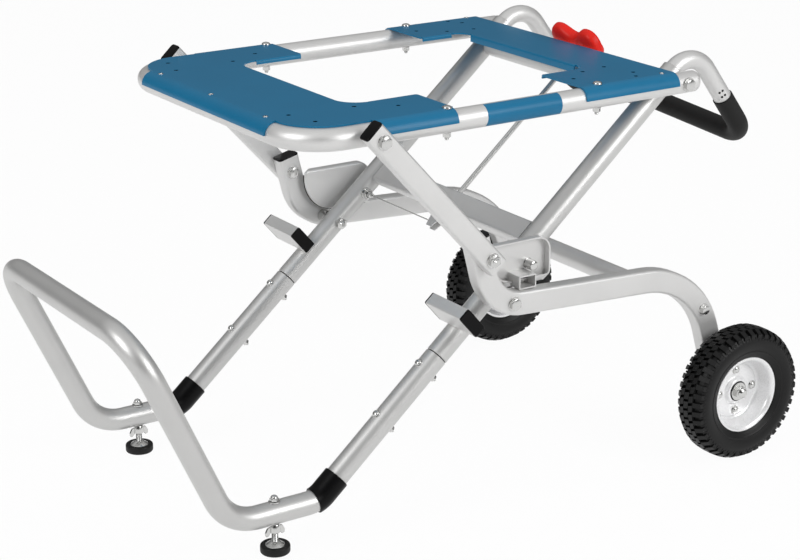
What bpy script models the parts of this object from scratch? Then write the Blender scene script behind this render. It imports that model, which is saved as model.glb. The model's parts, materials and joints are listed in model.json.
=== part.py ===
"""Folding saw stand on two wheels: a tubular base and leg frame with a push handle,
a top frame with two saw plates, cranked wheel arms with side links, and a pull
handle that draws two lock pins.

Metres, +Z up.  X runs along the stand, towards the handle and the wheels, and Y runs
across it.  The left side is -Y.  The origin is on the floor, under the middle.
"""
import math

import bmesh
import bpy
from mathutils import Vector

# Clearances
GAP = 0.0003              # between pieces that touch
BORE_GAP = 0.0004         # round a shank in its hole

# Round tubes
LEG_D = 0.034             # base loop and legs
HANDLE_D = 0.028          # handle tube, which plugs into the legs
RAIL_D = 0.032            # top frame
CROSS_D = 0.028           # tube between the tops of the legs
AXLE_TUBE_D = 0.030       # tube between the wheel arms
TUBE_WALL = 0.002
TUBE_SIDES = 12
BOLT_SIDES = 12           # bolts, washers and feet
PIN_SIDES = 8             # pins, rods and drilled holes
SAG = 0.0014              # most that a chord of a bend may leave its arc

# Base loop and legs
LEG_Y = 0.213             # half spacing of the legs
LEG_ANGLE = math.radians(40.8)
HEEL_X = -0.2588          # where the leg line meets the base line
FOOT_STACK = 0.0434       # floor to underside of the base tube
BASE_RUN = 0.1417         # length of the base line between its two bends
RISER_LEAN = math.radians(24.4)
RISER_HEIGHT = 0.2926     # base line to crossbar
HEEL_RADIUS = 0.040
TOE_RADIUS = 0.070
CROWN_RADIUS = 0.070

# Distances along the leg, from the heel
COLLAR_TOP = 0.0450
COLLAR_LENGTH = 0.0480    # down the leg and into the heel bend
COLLAR_WALL = 0.0022
COLLAR_PLAY = 0.0005      # round the tubes
LEG_BUTT = 0.0280         # base tube ends and lower leg starts
LEG_SEAM = 0.2708         # lower leg ends and upper leg starts
INSERT_LENGTH = 0.1560    # upper leg's narrow end, inside the lower leg
REST_BLOCK_AT = 0.3262
ARM_PIVOT_AT = 0.3922
LOCK_PIN_AT = 0.4576
CROSS_MEMBER_AT = 0.5000
TABLE_PIVOT_AT = 0.8160
CROSS_TUBE_BACK = 0.0340  # upper cross tube, below the table pivot
LEG_TOP_PAST = 0.0175     # leg tube past the table pivot

# Rest blocks and cross member
REST_LENGTH = 0.090
REST_ALONG = 0.020
REST_TALL = 0.043
REST_INSET = 0.008        # block's inner end, inside the leg's inner side
CAP_LIP = 0.003           # thickness of a plastic end cap
CAP_PLUG = 0.010          # depth of the plug inside the tube
MEMBER_ALONG = 0.036
MEMBER_THICK = 0.020

# Handle
HANDLE_DROP = math.radians(53.0)     # slope of the handle below its hook
HOOK_RISE = 0.0660        # hook corner past the table pivot, along the leg
HOOK_RADIUS = 0.045
HANDLE_REACH = 0.197      # hook corner to grip corner
GRIP_START = 0.108        # hook corner to start of grip
GRIP_RADIUS = 0.034
GRIP_BOW = 0.030          # middle of the crossbar, drawn back
BOW_RADIUS = 0.120
GRIP_WALL = 0.0016

# Top frame
RAIL_CLEAR = 0.0020       # between leg and rail
RAIL_PIVOT_SPAN = 0.5556  # table pivot to link pivot
RAIL_END = 0.0200         # rail past the table pivot
PLUG_LIP = 0.0110         # rounded plug past the rail's end
PLUG_RINGS = 4
FRAME_NOSE = 0.0974       # link pivot to front tube
FRAME_RADIUS = 0.068

# Saw plates, with the saw well between them
SHEET = 0.0025
SKIRT_CLEAR = 0.002       # between the front skirt and the link bolt
FRONT_PLATE_DEPTH = 0.1270   # front tube to the well
FRONT_ARM = 0.1150        # arms of the front plate, past the edge of the well
REAR_PLATE_EDGE = 0.0185  # rear plate, in front of the table pivot
REAR_PLATE_DEPTH = 0.0900
REAR_ARM = 0.0830
WELL_HALF = 0.158         # half width of the well
WELL_RADIUS = 0.035
REAR_WELL_RADIUS = 0.025
WELL_LIP = 0.008          # turned-down edge of the rear plate
LIP_BEND = 0.001

# Saw mounting holes: from the front tube, the edges of the well and the rear plate, or the rail
HOLE_D = 0.0070
SIDE_HOLE_BACK = 0.0300
SIDE_HOLE_PITCH = 0.0120
SIDE_HOLE_IN = 0.0850
SIDE_HOLE_STEP = 0.0500
ARM_HOLE_PAST = 0.0026
ARM_HOLE_PITCH = 0.0540
ARM_HOLE_IN = 0.0130
ARM_HOLE_STEP = 0.0280
REAR_HOLE_AHEAD = 0.0600
REAR_HOLE_PITCH = 0.0400
REAR_HOLE_IN = 0.0460
REAR_HOLE_STEP = 0.0290
CORNER_HOLE_BACK = 0.0266
CORNER_HOLE_IN = 0.0090
EDGE_HOLE_AHEAD = 0.0500
EDGE_HOLE_PITCH = 0.0130
EDGE_HOLE_IN = 0.0300
EDGE_HOLE_STEP = 0.0220

# Wheel arms, pans and links
PAN_CLEAR = 0.0060        # between leg and pan
PAN_SHEET = 0.0030
PAN_DEPTH = 0.0140
ARM_W = 0.025
ARM_H = 0.036
ARM_WALL = 0.002
CORNER_R = 0.004          # corner radius of the flat tubes
KNEE_BACK = 0.0340        # knee of the arm, in front of its pivot
KNEE_RADIUS = 0.070
LINK_PIVOT_BACK = 0.0550  # link pivot, in front of and above the arm pivot
LINK_PIVOT_RISE = 0.0812
ARM_TOP_PAST = 0.0250
SHOULDER_BACK = 0.0563    # shoulder of the arm, in front of and above the axle
SHOULDER_RISE = 0.1903
SHOULDER_RADIUS = 0.143
ARM_END_PAST = 0.0200
PAN_REACH = 0.0830        # pan past the arm pivot
PAN_RISE = 0.0790
PAN_BELOW = 0.0150
PAN_TUCK = 0.0072         # pan in front of the knee
PAN_RADIUS = 0.020
PAN_CORNER = 0.006
SOCKET_W = 0.030
SOCKET_H = 0.0197
SOCKET_LENGTH = 0.030
SOCKET_SUNK = 0.0019      # socket's floor, below the top of the arm
SOCKET_CORNER = 0.001
SOCKET_AHEAD = 0.029      # socket past the arm pivot
AXLE_TUBE_BACK = 0.1780   # cross tube, in front of the axle
LINK_CLEAR = 0.0005       # between arm and link
LINK_W = 0.0215
LINK_H = 0.032
LINK_WALL = 0.002
LINK_TOP_PAST = 0.0200
LINK_FOOT_PAST = 0.0180

# Wheels
WHEEL_R = 0.106
WHEEL_X = 0.4452
WHEEL_CLEAR = 0.0110      # between arm and tyre
TYRE_W = 0.054
SIDEWALL_R = 0.084        # where the tyre is widest
SHOULDER_R = 0.098
SHOULDER_HALF = 0.0238
CROWN_HALF = 0.0122       # half width of the tread
TREAD_DEPTH = 0.005
EDGE_DEPTH = 0.003        # tread at the shoulder
TREAD_LUGS = 18
RIM_R = 0.060
RIM_HALF = 0.0190
RIM_LIP = 0.003
RIM_SLOPE = 0.010         # rim's edge to the foot of its dish
RIM_STEPS = 18
WEB_T = 0.0032
WEB_BACK = 0.012          # disc, inside the middle of the tyre
HUB_R = 0.020
HUB_BACK = 0.028          # hub's inner end, inside the middle of the tyre
HUB_W = 0.026
BEARING_R = 0.016
AXLE_R = 0.008
AXLE_HEX = 0.0208
AXLE_NUT = 0.0064
AXLE_END = 0.0040         # axle past its nut
SPACER_R = 0.012

# Feet
FOOT_BACK = 0.0686        # foot, in front of the heel
PAD_R = 0.0215
PAD_H = 0.012
PAD_EDGE = 0.002          # bevel of the pad
CUP_R = 0.0133            # recess in the pad, for the stud's flange
CUP_DEPTH = 0.003
CUP_PLAY = 0.0008
FLANGE_T = 0.0015
NECK_R = 0.0075
NECK_RISE = 0.0050        # flange to the stud's neck, and to its thread
THREAD_RISE = 0.0070
STUD_R = 0.005
STUD_BURIED = 0.028       # stud inside the base tube
WING_HUB_R = 0.0085
WING_TOP_R = 0.0068
WING_HUB_H = 0.012
WING_ROOT = 0.003         # top of the wings, below the top of the nut
WING_DROP = 0.004
WING_SHOULDER = 0.012
WING_SPAN = 0.016
WING_TOE = 0.0096
WING_H = 0.016
WING_T = 0.003

# Release
ROD_R = 0.004
PULL_PAST = 0.0115        # middle of the pull handle, past the table pivot
PULL_LIFT = 0.012         # and above the leg line
PULL_HALF = 0.057
PULL_TALL = 0.026
PULL_THICK = 0.011
PULL_WAIST = 0.72         # size at the middle, as a share of the lobes
PULL_LOBE = 0.62          # where the lobes are fullest, as a share of the half length
PULL_TIP = 0.31           # size at the ends, as a share of the lobes
PULL_STATIONS = 10
BLOCK_HALF = 0.020
BLOCK_THICK = 0.020
BLOCK_BELOW = 0.010       # block past the wires
BLOCK_CORNER = 0.002
WIRE_R = 0.0010
WIRE_END = 0.0185         # inner end of each wire
PIN_R = 0.005
PIN_TAIL = 0.016          # pin past the leg's inner side
PIN_EYE_R = 0.003
PIN_NOSE = 0.002
PIN_TIP_R = 0.0035
KEEPER_R = 0.0075
KEEPER_L = 0.017
KEEPER_FLANGE_R = 0.0082
KEEPER_FLANGE_T = 0.0015
KEEPER_NOSE = 0.0026
KEEPER_TIP_R = 0.0052

# Fasteners
PIVOT_BOLT_R = 0.005
PIVOT_HEX = 0.016
HEAD_H = 0.0065
SHOULDER_BOLT_R = 0.0095  # collars on the bolts, between two pieces

SIDES = (("left", -1), ("right", 1))
LENGTHWISE = Vector((1.0, 0.0, 0.0))
ACROSS = Vector((0.0, 1.0, 0.0))
UP = Vector((0.0, 0.0, 1.0))

# Lines and points worked out from the sizes above
LEG_R = LEG_D / 2
LEG_WALL = (LEG_D - HANDLE_D) / 2 - GAP      # so that the handle fits inside
RAIL_R = RAIL_D / 2
BASE_Z = FOOT_STACK + LEG_R
LEG_ALONG = Vector((math.cos(LEG_ANGLE), 0.0, math.sin(LEG_ANGLE)))
LEG_ACROSS = Vector((-math.sin(LEG_ANGLE), 0.0, math.cos(LEG_ANGLE)))
HEEL = Vector((HEEL_X, 0.0, BASE_Z))


def at_y(point, y):
    """The same point, moved to a given Y."""
    return Vector((point.x, y, point.z))


def leg_point(along, above=0.0, y=0.0):
    """A point beside the leg line, measured along it from the heel."""
    return at_y(HEEL + LEG_ALONG * along + LEG_ACROSS * above, y)


TABLE_PIVOT = leg_point(TABLE_PIVOT_AT)
ARM_PIVOT = leg_point(ARM_PIVOT_AT)
LOCK_PIN = leg_point(LOCK_PIN_AT)
RAIL_Z = TABLE_PIVOT.z
PLATE_Z = RAIL_Z + RAIL_R + GAP
FRAME_FRONT = RAIL_PIVOT_SPAN + FRAME_NOSE
LINK_TOP = TABLE_PIVOT - Vector((RAIL_PIVOT_SPAN, 0.0, 0.0))
LINK_FOOT = ARM_PIVOT + Vector((-LINK_PIVOT_BACK, 0.0, LINK_PIVOT_RISE))
AXLE = Vector((WHEEL_X, 0.0, WHEEL_R))
FOOT_X = HEEL_X - FOOT_BACK

LEG_OUT = LEG_Y + LEG_R
LEG_IN = LEG_Y - LEG_R
RAIL_Y = LEG_OUT + RAIL_CLEAR + RAIL_R
PAN_Y = LEG_OUT + PAN_CLEAR
ARM_Y = PAN_Y + PAN_DEPTH
ARM_OUT = ARM_Y + ARM_W
LINK_Y = ARM_OUT + LINK_CLEAR
LINK_OUT = LINK_Y + LINK_W
WHEEL_Y = ARM_OUT + WHEEL_CLEAR + TYRE_W / 2
CROSS_TUBE_AT = TABLE_PIVOT_AT - CROSS_TUBE_BACK
PULL_AT = TABLE_PIVOT_AT + PULL_PAST
PULL = leg_point(PULL_AT, PULL_LIFT)

# One joint origin for each body
BODIES = {
    "base_frame": Vector((0.0, 0.0, 0.0)),
    "top_frame": TABLE_PIVOT,
    "wheel_arms": ARM_PIVOT,
    "release_pull": PULL,
}
for side, sign in SIDES:
    BODIES["link_" + side] = at_y(LINK_TOP, sign * LINK_Y)
    BODIES["wheel_" + side] = at_y(AXLE, sign * WHEEL_Y)
    BODIES["lock_pin_" + side] = at_y(LOCK_PIN, sign * LEG_Y)
    BODIES["foot_" + side] = Vector((FOOT_X, sign * LEG_Y, 0.0))
    BODIES["wing_nut_" + side] = Vector((FOOT_X, sign * LEG_Y, FOOT_STACK))


def clear_scene():
    for item in list(bpy.data.objects):
        bpy.data.objects.remove(item, do_unlink=True)


def make_material(name, colour, roughness, metallic):
    material = bpy.data.materials.new(name)
    material.use_nodes = True
    shader = material.node_tree.nodes["Principled BSDF"]
    shader.inputs["Base Color"].default_value = (*colour, 1.0)
    shader.inputs["Roughness"].default_value = roughness
    shader.inputs["Metallic"].default_value = metallic
    return material


clear_scene()
SILVER = make_material("silver_coat", (0.62, 0.62, 0.63), 0.35, 0.8)
STEEL = make_material("zinc_steel", (0.70, 0.70, 0.70), 0.25, 1.0)
BLUE = make_material("blue_coat", (0.035, 0.15, 0.27), 0.45, 0.1)
BLACK = make_material("black_plastic", (0.015, 0.015, 0.016), 0.5, 0.0)
FOAM = make_material("black_grip", (0.010, 0.010, 0.010), 0.7, 0.0)
RUBBER = make_material("black_rubber", (0.012, 0.012, 0.012), 0.8, 0.0)
RED = make_material("red_plastic", (0.75, 0.02, 0.02), 0.35, 0.0)
RIM_GREY = make_material("rim_coat", (0.75, 0.75, 0.76), 0.4, 0.5)

PARENTS = {}
for body, place in BODIES.items():
    empty = bpy.data.objects.new("joint_" + body, None)
    empty.location = place
    bpy.context.collection.objects.link(empty)
    PARENTS[body] = empty


# Outlines, as points about a centre
def circle(radius, sides=TUBE_SIDES):
    return [(radius * math.cos(2 * math.pi * i / sides), radius * math.sin(2 * math.pi * i / sides))
            for i in range(sides)]


def hexagon(flats, sides):
    """A hexagon, with a point at each corner and as many between them as asked."""
    points = []
    for i in range(sides):
        angle = 2 * math.pi * i / sides
        within = (angle % (math.pi / 3)) - math.pi / 6
        reach = flats / 2 / math.cos(within)
        points.append((reach * math.cos(angle), reach * math.sin(angle)))
    return points


def flat_tube(width, height, radius):
    """A rectangle with its corners cut at 45 degrees."""
    w = width / 2
    h = height / 2
    return [(w, -h + radius), (w, h - radius), (w - radius, h), (-w + radius, h),
            (-w, h - radius), (-w, -h + radius), (-w + radius, -h), (w - radius, -h)]


def arc_steps(radius, turn):
    """How many chords an arc takes."""
    widest = 2 * math.acos(max(0.0, 1 - SAG / radius))
    return math.ceil(turn / widest)


def fillet(corners, radii):
    """A path through the corners, with each inner corner rounded to its radius."""
    path = [corners[0]]
    for before, corner, after, radius in zip(corners, corners[1:], corners[2:], radii):
        arrive = (corner - before).normalized()
        leave = (after - corner).normalized()
        turn = arrive.angle(leave)
        start = corner - arrive * (radius * math.tan(turn / 2))
        inward = (leave - arrive * leave.dot(arrive)).normalized()
        steps = arc_steps(radius, turn)
        for i in range(steps + 1):
            angle = turn * i / steps
            ahead = arrive * (radius * math.sin(angle))
            path.append(start + ahead + inward * (radius * (1 - math.cos(angle))))
    path.append(corners[-1])
    return path


def cut_path(path, start, end):
    """The stretch of a path between two lengths measured along it."""
    points = []
    travelled = 0.0
    for a, b in zip(path, path[1:]):
        step = (b - a).length
        for mark in (start, end):
            if travelled <= mark < travelled + step:
                points.append(a.lerp(b, (mark - travelled) / step))
        if start < travelled + step < end:
            points.append(b)
        travelled += step
    return points


def path_length(path):
    return sum((b - a).length for a, b in zip(path, path[1:]))


# Solids, built from rings of points
def loft(bm, rings, closed=False):
    rows = [[bm.verts.new(point) for point in ring] for ring in rings]
    pairs = list(zip(rows, rows[1:]))
    if closed:
        pairs.append((rows[-1], rows[0]))
    count = len(rows[0])
    for a, b in pairs:
        for i in range(count):
            j = (i + 1) % count
            bm.faces.new((a[i], a[j], b[j], b[i]))
    if not closed:
        bm.faces.new(rows[0][::-1])
        bm.faces.new(rows[-1])


def sweep_rings(path, outline, first_axis):
    """Rings of an outline carried along a path, without twist."""
    rings = []
    tangent = (path[1] - path[0]).normalized()
    a = (first_axis - tangent * first_axis.dot(tangent)).normalized()
    last = tangent
    for i, point in enumerate(path):
        before = path[i] - path[i - 1] if i else path[1] - path[0]
        after = path[i + 1] - path[i] if i + 1 < len(path) else before
        tangent = (before.normalized() + after.normalized()).normalized()
        a = last.rotation_difference(tangent) @ a
        b = tangent.cross(a)
        last = tangent
        rings.append([point + a * p + b * q for p, q in outline])
    return rings


def sweep(bm, path, outer, inner=None, first_axis=ACROSS):
    """A rod, or with an inner outline a tube, along a path."""
    rings = sweep_rings(path, outer, first_axis)
    if inner:
        rings += sweep_rings(path, inner, first_axis)[::-1]
    loft(bm, rings, closed=inner is not None)


def round_tube(bm, path, diameter, wall=TUBE_WALL, first_axis=ACROSS, sides=TUBE_SIDES):
    sweep(bm, path, circle(diameter / 2, sides), circle(diameter / 2 - wall, sides), first_axis)


def box_tube(bm, path, width, height, wall):
    """A flat-sided tube, its width along Y."""
    inner = flat_tube(width - 2 * wall, height - 2 * wall, CORNER_R - wall / 2)
    sweep(bm, path, flat_tube(width, height, CORNER_R), inner)


def turned(bm, origin, axis, profile, closed=False):
    """Outlines set square to an axis, each at its own distance along it."""
    axis = axis.normalized()
    across = UP if abs(axis.y) > 0.9 else ACROSS
    a = (across - axis * across.dot(axis)).normalized()
    b = axis.cross(a)
    rings = [[origin + axis * distance + a * p + b * q for p, q in outline] for distance, outline in profile]
    loft(bm, rings, closed)


def spindle(bm, point, sign, *steps):
    """A bolt or pin along Y: each step has an outline and its two distances from the middle plane."""
    profile = []
    for outline, start, end in steps:
        profile += [(start, outline), (end, outline)]
    turned(bm, at_y(point, 0.0), sign * ACROSS, profile)


def add(name, bm, material, body="base_frame", sharp=35.0):
    """Turn a built mesh into the named object of a sub-part, under its body's joint."""
    bmesh.ops.recalc_face_normals(bm, faces=bm.faces)
    bmesh.ops.translate(bm, verts=bm.verts, vec=-BODIES[body])
    mesh = bpy.data.meshes.new(name)
    bm.to_mesh(mesh)
    bm.free()
    mesh.materials.append(material)
    mesh.shade_smooth()
    mesh.set_sharp_from_angle(angle=math.radians(sharp))
    item = bpy.data.objects.new(name, mesh)
    item.parent = PARENTS[body]
    bpy.context.collection.objects.link(item)
    return item


def drill(item, body, holes, sides=PIN_SIDES):
    """Cut round holes, each given by its two ends and the radius that must pass."""
    bm = bmesh.new()
    for start, end, radius in holes:
        outline = circle(radius / math.cos(math.pi / sides), sides)
        turned(bm, start, end - start, [(0.0, outline), ((end - start).length, outline)])
    cutter = add("cutter_" + item.name, bm, STEEL, body)
    cutter.hide_render = True
    cutter.display_type = "WIRE"
    cut = item.modifiers.new("holes", "BOOLEAN")
    cut.operation = "DIFFERENCE"
    cut.solver = "EXACT"
    cut.object = cutter


def across_hole(point, sign, inner, outer, radius):
    """A hole along Y, between two distances from the middle plane."""
    return at_y(point, sign * inner), at_y(point, sign * outer), radius


# Base loop, collars and legs
def base_corners():
    """Heel, toe and crown of the base loop, on the middle plane."""
    toe = HEEL - Vector((BASE_RUN, 0.0, 0.0))
    crown = toe + Vector((-math.tan(RISER_LEAN) * RISER_HEIGHT, 0.0, RISER_HEIGHT))
    return HEEL, toe, crown


def base_loop():
    half = [leg_point(LEG_BUTT - GAP), *base_corners()]
    corners = [at_y(p, -LEG_Y) for p in half] + [at_y(p, LEG_Y) for p in reversed(half)]
    radii = (HEEL_RADIUS, TOE_RADIUS, CROWN_RADIUS, CROWN_RADIUS, TOE_RADIUS, HEEL_RADIUS)
    bm = bmesh.new()
    round_tube(bm, fillet(corners, radii), LEG_D, LEG_WALL)
    item = add("base_loop", bm, SILVER)
    stud_top = FOOT_STACK + STUD_BURIED + GAP
    drill(item, "base_frame", [(Vector((FOOT_X, sign * LEG_Y, FOOT_STACK - LEG_R)),
                                Vector((FOOT_X, sign * LEG_Y, stud_top)), STUD_R + BORE_GAP)
                               for side, sign in SIDES])


def leg_collars():
    """Sleeves over the joints between the base loop and the legs."""
    heel, toe, crown = base_corners()
    path = fillet([leg_point(COLLAR_TOP), heel, toe], (HEEL_RADIUS,))
    path = cut_path(path, 0.0, COLLAR_LENGTH)
    outside = LEG_D + 2 * COLLAR_PLAY + 2 * COLLAR_WALL
    for side, sign in SIDES:
        bm = bmesh.new()
        round_tube(bm, [at_y(p, sign * LEG_Y) for p in path], outside, COLLAR_WALL)
        add("leg_collar_" + side, bm, BLACK)


def lower_legs():
    for side, sign in SIDES:
        ends = [leg_point(at, 0.0, sign * LEG_Y) for at in (LEG_BUTT, LEG_SEAM - GAP)]
        bm = bmesh.new()
        round_tube(bm, ends, LEG_D, LEG_WALL)
        add("lower_leg_" + side, bm, SILVER)


def upper_legs():
    """Tubes with a narrow end, which fits inside the lower legs."""
    start = LEG_SEAM - INSERT_LENGTH
    top = TABLE_PIVOT_AT + LEG_TOP_PAST
    outside = circle(LEG_R)
    bore = circle(LEG_R - LEG_WALL)
    narrow = circle(LEG_R - LEG_WALL - GAP)
    narrow_bore = circle(LEG_R - 2 * LEG_WALL - GAP)
    profile = [(start, narrow), (LEG_SEAM, narrow), (LEG_SEAM, outside), (top, outside), (top, bore),
               (LEG_SEAM + 2 * LEG_WALL, bore), (LEG_SEAM + LEG_WALL, narrow_bore), (start, narrow_bore)]
    crossings = ((ARM_PIVOT, PIVOT_BOLT_R), (LOCK_PIN, PIN_R), (TABLE_PIVOT, PIVOT_BOLT_R))
    for side, sign in SIDES:
        bm = bmesh.new()
        turned(bm, leg_point(0.0, 0.0, sign * LEG_Y), LEG_ALONG, profile, closed=True)
        item = add("upper_leg_" + side, bm, SILVER)
        reach = (LEG_IN - LEG_R, LEG_OUT + LEG_R)
        drill(item, "base_frame", [across_hole(point, sign, *reach, radius + BORE_GAP)
                                   for point, radius in crossings])


def cap(bm, end, outward, width, height, wall):
    """A plastic end cap: a lip over the tube's end and a plug inside it."""
    lip = flat_tube(width, height, CORNER_R)
    plug = flat_tube(width - 2 * wall - 2 * GAP, height - 2 * wall - 2 * GAP, CORNER_R - wall / 2)
    b = outward.cross(ACROSS)
    rings = []
    for distance, outline in ((-CAP_PLUG, plug), (GAP, plug), (GAP, lip), (CAP_LIP, lip)):
        rings.append([end + outward * distance + ACROSS * p + b * q for p, q in outline])
    loft(bm, rings)


def rest_blocks():
    """Stops welded on top of the legs, each filled with a plastic insert."""
    middle = LEG_R + GAP + REST_TALL / 2
    inner = LEG_IN - REST_INSET
    outer_loop = flat_tube(REST_ALONG, REST_TALL, CORNER_R)
    hollow = flat_tube(REST_ALONG - 2 * TUBE_WALL, REST_TALL - 2 * TUBE_WALL, CORNER_R - TUBE_WALL / 2)
    shrink = TUBE_WALL + GAP
    filling = flat_tube(REST_ALONG - 2 * shrink, REST_TALL - 2 * shrink, CORNER_R - shrink / 2)
    for side, sign in SIDES:
        ends = [leg_point(REST_BLOCK_AT, middle, sign * inner),
                leg_point(REST_BLOCK_AT, middle, sign * (inner + REST_LENGTH))]
        bm = bmesh.new()
        sweep(bm, ends, outer_loop, hollow, LEG_ALONG)
        add("rest_block_" + side, bm, SILVER)
        bm = bmesh.new()
        sweep(bm, ends, filling, None, LEG_ALONG)
        add("rest_insert_" + side, bm, BLACK)


def cross_members():
    """The flat member and the round tube between the legs, with holes for the rod."""
    reach = LEG_IN - GAP
    bm = bmesh.new()
    outer_loop = flat_tube(MEMBER_ALONG, MEMBER_THICK, CORNER_R)
    inner_loop = flat_tube(MEMBER_ALONG - 2 * TUBE_WALL, MEMBER_THICK - 2 * TUBE_WALL,
                           CORNER_R - TUBE_WALL / 2)
    sweep(bm, [leg_point(CROSS_MEMBER_AT, 0, -reach), leg_point(CROSS_MEMBER_AT, 0, reach)],
          outer_loop, inner_loop, LEG_ALONG)
    member = add("cross_member", bm, SILVER)
    bm = bmesh.new()
    round_tube(bm, [leg_point(CROSS_TUBE_AT, 0, -reach), leg_point(CROSS_TUBE_AT, 0, reach)], CROSS_D,
               first_axis=LEG_ALONG)
    tube = add("upper_cross_tube", bm, SILVER)
    for item, at, depth in ((member, CROSS_MEMBER_AT, MEMBER_ALONG), (tube, CROSS_TUBE_AT, CROSS_D)):
        drill(item, "base_frame", [(leg_point(at - depth), leg_point(at + depth), ROD_R + BORE_GAP)])


# Handle
def handle_path():
    hook = leg_point(TABLE_PIVOT_AT + HOOK_RISE)
    down = Vector((math.cos(HANDLE_DROP), 0.0, -math.sin(HANDLE_DROP)))
    grip = hook + down * HANDLE_REACH
    middle = grip - down * GRIP_BOW
    start = leg_point(TABLE_PIVOT_AT + PIVOT_BOLT_R + 4 * BORE_GAP)
    half = [start, hook, grip]
    corners = [at_y(p, -LEG_Y) for p in half] + [middle] + [at_y(p, LEG_Y) for p in reversed(half)]
    radii = (HOOK_RADIUS, GRIP_RADIUS, BOW_RADIUS, GRIP_RADIUS, HOOK_RADIUS)
    return fillet(corners, radii), start, hook


def handle():
    path, start, hook = handle_path()
    bm = bmesh.new()
    round_tube(bm, path, HANDLE_D)
    add("handle_tube", bm, SILVER)
    straight = (hook - start).length + GRIP_START
    corner = HANDLE_DROP + LEG_ANGLE
    saved = HOOK_RADIUS * (2 * math.tan(corner / 2) - corner)
    first = straight - saved
    bm = bmesh.new()
    covered = cut_path(path, first, path_length(path) - first)
    round_tube(bm, covered, HANDLE_D + 2 * GAP + 2 * GRIP_WALL, GRIP_WALL)
    add("handle_grip", bm, FOAM)


# Top frame
def table_x(distance):
    """X of a point, measured from the table pivot towards the front."""
    return TABLE_PIVOT.x - distance


def top_tube():
    front = table_x(FRAME_FRONT)
    rear = TABLE_PIVOT.x + RAIL_END
    corners = [Vector((rear, -RAIL_Y, RAIL_Z)), Vector((front, -RAIL_Y, RAIL_Z)),
               Vector((front, RAIL_Y, RAIL_Z)), Vector((rear, RAIL_Y, RAIL_Z))]
    bm = bmesh.new()
    round_tube(bm, fillet(corners, (FRAME_RADIUS, FRAME_RADIUS)), RAIL_D)
    item = add("top_tube", bm, SILVER, "top_frame")
    holes = []
    inside = circle(RAIL_R - TUBE_WALL - GAP)
    profile = [(-CAP_PLUG, inside), (GAP, inside)]
    for i in range(PLUG_RINGS):
        angle = math.pi / 2 * i / PLUG_RINGS
        profile.append((GAP + (PLUG_LIP - GAP) * math.sin(angle), circle(RAIL_R * math.cos(angle))))
    for side, sign in SIDES:
        for point in (TABLE_PIVOT, LINK_TOP):
            holes.append(across_hole(point, sign, RAIL_Y - RAIL_D, RAIL_Y + RAIL_D, PIVOT_BOLT_R + BORE_GAP))
        bm = bmesh.new()
        turned(bm, Vector((rear, sign * RAIL_Y, RAIL_Z)), Vector((1.0, 0.0, 0.0)), profile)
        add("rail_end_plug_" + side, bm, SILVER, "top_frame")
    drill(item, "top_frame", holes)


def rounded(points, radii):
    """A flat outline with its corners rounded, and the index at which each corner ends."""
    outline = []
    ends = []
    count = len(points)
    for i, radius in enumerate(radii):
        corner = Vector((*points[i], 0.0))
        before = Vector((*points[i - 1], 0.0))
        after = Vector((*points[(i + 1) % count], 0.0))
        arc = fillet([before, corner, after], (radius,))[1:-1] if radius else [corner]
        outline += [(p.x, p.y) for p in arc]
        ends.append(len(outline) - 1)
    return outline, ends


def fold_down(bm, inner, outer, outward, bend, drop):
    """Fold an edge of a sheet, given by its two lower and its two upper corners."""
    starts = [vert.co.copy() for vert in inner]
    steps = arc_steps(bend + SHEET, math.pi / 2)
    turns = [(math.pi / 2 * i / steps, 0.0) for i in range(1, steps + 1)]
    if drop:
        turns.append((math.pi / 2, drop))
    for angle, fall in turns:
        rows = []
        for radius, lift in ((bend, 0.0), (bend + SHEET, SHEET)):
            shift = outward * (radius * math.sin(angle)) + UP * (lift - fall - radius * (1 - math.cos(angle)))
            rows.append([bm.verts.new(start + shift) for start in starts])
        low, high = rows
        bm.faces.new((inner[0], inner[1], low[1], low[0]))
        bm.faces.new((outer[0], outer[1], high[1], high[0]))
        for k in (0, 1):
            bm.faces.new((inner[k], low[k], high[k], outer[k]))
        inner, outer = low, high
    bm.faces.new((inner[0], inner[1], outer[1], outer[0]))


def plate(name, outline, folds):
    """A flat sheet with some of its edges folded down.

    The outline is a list of (x, y) points.  Each fold has the index of its edge, the way it
    turns, the inner radius of its bend and a straight drop below the bend.
    """
    bm = bmesh.new()
    under = [bm.verts.new((x, y, PLATE_Z)) for x, y in outline]
    over = [bm.verts.new((x, y, PLATE_Z + SHEET)) for x, y in outline]
    bm.faces.new(under)
    bm.faces.new(over)
    count = len(outline)
    folded = {index: fold for index, *fold in folds}
    for i in range(count):
        j = (i + 1) % count
        if i in folded:
            fold_down(bm, (under[i], under[j]), (over[i], over[j]), *folded[i])
        else:
            bm.faces.new((under[i], under[j], over[j], over[i]))
    return add(name, bm, BLUE, "top_frame")


def drill_plate(item, pairs):
    """Saw mounting holes, on both sides of the middle line."""
    places = [(x, sign * y) for x, y in pairs for side, sign in SIDES]
    low = PLATE_Z - SHEET
    high = PLATE_Z + 2 * SHEET
    drill(item, "top_frame", [(Vector((x, y, low)), Vector((x, y, high)), HOLE_D / 2) for x, y in places])


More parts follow.
